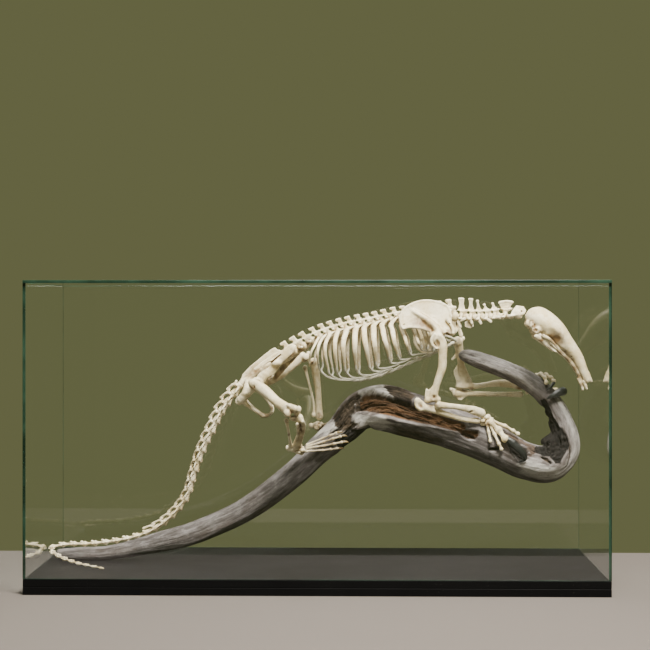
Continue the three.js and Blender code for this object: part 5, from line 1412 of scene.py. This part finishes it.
def claw(name, stops, radius, finish, node):
    """A horn sheath that tapers along a curve to a point, flattened from front to back."""
    clay = Clay(0.3)
    clay.rod(stops, [0.8 * radius, radius, 0.96 * radius, 0.8 * radius, 0.5 * radius, 0.16 * radius],
             [0.62], FRONT)
    add_piece(clay.cast(name, (), 0.03), finish, "claw_horn", node)


claw("near_great_claw",
     [(222.6, -30.4, 168.6), (228, -31.4, 165), (235.6, -32, 157.8), (242, -31, 150.6),
      (243.6, -29, 145.4), (236.4, -27, 141.8)], 4.4, dark_horn, "claw_hand_r")
claw("far_great_claw",
     [(290, 0, 223.6), (290.4, -8, 224), (285, -13, 223), (278.4, -15.4, 219.8), (271, -15.8, 215.8)], 5.2,
     dark_horn, "claw_hand_l")
claw("far_small_claw", [(281, -7, 235.6), (277, -11.4, 231), (269.6, -13.4, 224.6)], 1.9, dark_horn,
     "claw_hand_l_small")

# Feet: the heel and ankle bones, and four long digits that fan out over the wood, each tipped with a
# slender curved claw of paler horn.
FEET = {
    "r": dict(core=(-22, -21, 154), size=(8.8, 6.4, 5.6), heel=(-34.6, -22, 156.6), face=-1, rays=[
        (1.3, (-13, 161), (6, 168.6), (22, 175)), (1.5, (-13, 159), (7.4, 164.6), (27, 171)),
        (1.5, (-13, 157), (7.4, 159.6), (28.5, 164)), (1.4, (-14, 153.6), (6.2, 154.2), (23, 156.6))]),
    "l": dict(core=(0, 28, 180), size=(7, 6, 6.4), heel=(-8.4, 29, 179.6), face=1, rays=[
        (2.0, (2, 181), (12, 183), (25, 190.5)), (2.4, (3, 179), (14, 178), (30, 186)),
        (2.4, (3, 177), (14, 171.5), (31, 177)), (2.2, (2, 175), (11, 165), (27, 167))]),
}
FOOT_LIFT = 2.8
pale_horn, pen = new_finish("pale_horn", 0.35)
spot = own_place(pen)
layer = noise(pen, spot, 0.003, 3)
feed(pale_horn, Base_Color=layer.rise(0.3, 0.7).blend(paint(92, 76, 50), paint(134, 114, 78)),
     Roughness=0.3 + 0.2 * layer)
for side, foot in FEET.items():
    face = foot["face"]
    clay = Clay(0.4)
    wrist(clay, foot["core"], foot["size"], 0.7 + face)
    clay.rod([np.array(foot["core"]) + [-3, 0, 1], foot["heel"]], [3.8, 2.8, 2.8], [0.9])
    clay.ball(np.array(foot["heel"]) + [-0.8, 0, 0.8], (2.6, 3.2, 3.2), 1)
    for number, (radius, start, knuckle, end) in enumerate(foot["rays"], 1):
        start, knuckle, end = (np.array(point, float) for point in (start, knuckle, end))
        middle = 0.45 * knuckle + 0.55 * end
        digit(clay, [(start[0], foot["core"][1], start[1]), on_log(*knuckle, face, FOOT_LIFT + 0.8),
                     on_log(*middle, face, FOOT_LIFT + 1.4), on_log(*end, face, FOOT_LIFT)], radius)
        way = unit(end - knuckle)
        tips = [on_log(*(end + ahead * way - [0, drop]), face, FOOT_LIFT - 0.5 * drop)
                for ahead, drop in ((0.6, 0), (3.6, 0.4), (6.4, 1.4), (8.6, 2.8))]
        claw(f"foot_{side}_claw_{number}", tips, 1.5, pale_horn, f"claw_foot_{side}_{number}")
    stains = [(*foot["core"], 7)]
    stains += [(*on_log(*knuckle, face, FOOT_LIFT), 30, 0.75) for _, _, knuckle, _ in foot["rays"]]
    add_piece(clay.cast(f"foot_{side}_bones", stains), ivory, "bone", f"foot_{side}")

# Glass case: five panes of clear float glass, three millimetres thick, glued edge to edge and standing
# on the board. The faces are polished clear, and the cut edges show the green of the glass.
PANE_BEVEL = 0.25

clear_glass, pen = new_finish("clear_glass", 0.0)
shader = clear_glass.node_tree.nodes["Principled BSDF"]
shader.inputs["Base Color"].default_value = (0.985, 0.995, 0.99, 1)
shader.inputs["Transmission Weight"].default_value = 1.0
shader.inputs["IOR"].default_value = 1.5
lets_light = pen.make("ShaderNodeBsdfTransparent", {}, {"Color": (0.98, 0.99, 0.985, 1)})
shadow = pen.make("ShaderNodeLightPath", {}, {}, "Is Shadow Ray")
indirect = pen.make("ShaderNodeLightPath", {}, {}, "Is Diffuse Ray")
through = shadow.sum("MAXIMUM", shadow, indirect)
mixed = pen.make("ShaderNodeMixShader", {},
                 {0: through, 1: Tone(pen.tree, shader.outputs["BSDF"]), 2: lets_light})
surface = clear_glass.node_tree.nodes["Material Output"].inputs["Surface"]
clear_glass.node_tree.links.new(mixed.socket, surface)

green_edge, pen = new_finish("green_edge", 0.18)
spot = own_place(pen)
feed(green_edge,
     Base_Color=noise(pen, spot, 0.05).rise(0.35, 0.65).blend(paint(16, 34, 24), paint(40, 64, 50)))


def pane(node):
    """A pane with ground edges, its broad faces clear and the rest green."""
    low, high = (np.array(corner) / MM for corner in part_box(node))
    size = high - low
    thin = int(np.argmin(size))
    one, other = [axis for axis in range(3) if axis != thin]
    rings = []
    for depth, inset in [(0, PANE_BEVEL), (PANE_BEVEL, 0), (size[thin] - PANE_BEVEL, 0),
                         (size[thin], PANE_BEVEL)]:
        outline = np.zeros((4, 3))
        outline[:, one] = [low[one] + inset, high[one] - inset, high[one] - inset, low[one] + inset]
        outline[:, other] = [low[other] + inset, low[other] + inset, high[other] - inset,
                             high[other] - inset]
        outline[:, thin] = low[thin] + depth
        rings.append(outline if thin != 1 else outline[::-1])
    mesh = skin_over(f"{node}_pane", np.array(rings), False)
    add_piece(mesh, clear_glass, "case_glass", node)
    mesh.materials.append(green_edge)
    for face in mesh.polygons:
        face.material_index = int(abs(face.normal[thin]) < 0.9)


for node in ("glass_front", "glass_back", "glass_left", "glass_right", "glass_top"):
    pane(node)

# Studio: a plain pale floor that ends a little behind the case, a plain muted green beyond it, one large
# soft lamp high above the near side with two weak ones to fill, and the camera at the photograph's place.
FLOOR_CORNERS = [(-700, -430), (700, -430), (700, 210), (-700, 210)]
CAMERA_PLACE = (38.17, -1949.24, 320.78)
CAMERA_TURN = math.radians(1.365)
CAMERA_LENS = 90.28
CAMERA_SHIFT = (0.0212, -0.0235)

floor_mesh = bpy.data.meshes.new("pale_floor")
floor_mesh.from_pydata([(x * MM, y * MM, 0) for x, y in FLOOR_CORNERS], [], [(0, 1, 2, 3)])
pale, pen = new_finish("pale_floor", 0.9, 0.1)
pale.node_tree.nodes["Principled BSDF"].inputs["Base Color"].default_value = paint(100, 94, 89)
floor_mesh.materials.append(pale)
floor = bpy.data.objects.new("pale_floor", floor_mesh)
bpy.context.scene.collection.objects.link(floor)


def lamp(name, place, aim, size, power, tint):
    """A soft rectangular lamp that faces a point, in millimetres."""
    light = bpy.data.lights.new(name, "AREA")
    light.shape = "RECTANGLE"
    light.size, light.size_y = (side * MM for side in size)
    light.energy = power
    light.color = tint
    holder = bpy.data.objects.new(name, light)
    holder.location = [v * MM for v in place]
    gaze = Vector([b - a for a, b in zip(place, aim)])
    holder.rotation_euler = gaze.to_track_quat("-Z", "Y").to_euler()
    bpy.context.scene.collection.objects.link(holder)


lamp("key_lamp", (400, -960, 1640), (20, 0, 200), (600, 600), 126, (1, 0.96, 0.88))
lamp("top_lamp", (60, 60, 1700), (30, 0, 150), (900, 500), 22, (1, 0.98, 0.95))
lamp("fill_lamp", (-1300, -1500, 700), (0, 0, 180), (900, 900), 5, (0.96, 0.98, 1))
world = bpy.data.worlds.new("studio_air")
world.use_nodes = True
world.node_tree.nodes["Background"].inputs["Color"].default_value = (0.13, 0.135, 0.06, 1)
world.node_tree.nodes["Background"].inputs["Strength"].default_value = 1.0
bpy.context.scene.world = world

camera = bpy.data.cameras.new("photo_camera")
camera.lens = CAMERA_LENS
camera.sensor_width = 36
camera.shift_x, camera.shift_y = CAMERA_SHIFT
camera_holder = bpy.data.objects.new("photo_camera", camera)
camera_holder.location = [v * MM for v in CAMERA_PLACE]
camera_holder.rotation_euler = (math.pi / 2, 0, CAMERA_TURN)
bpy.context.scene.collection.objects.link(camera_holder)
bpy.context.scene.camera = camera_holder
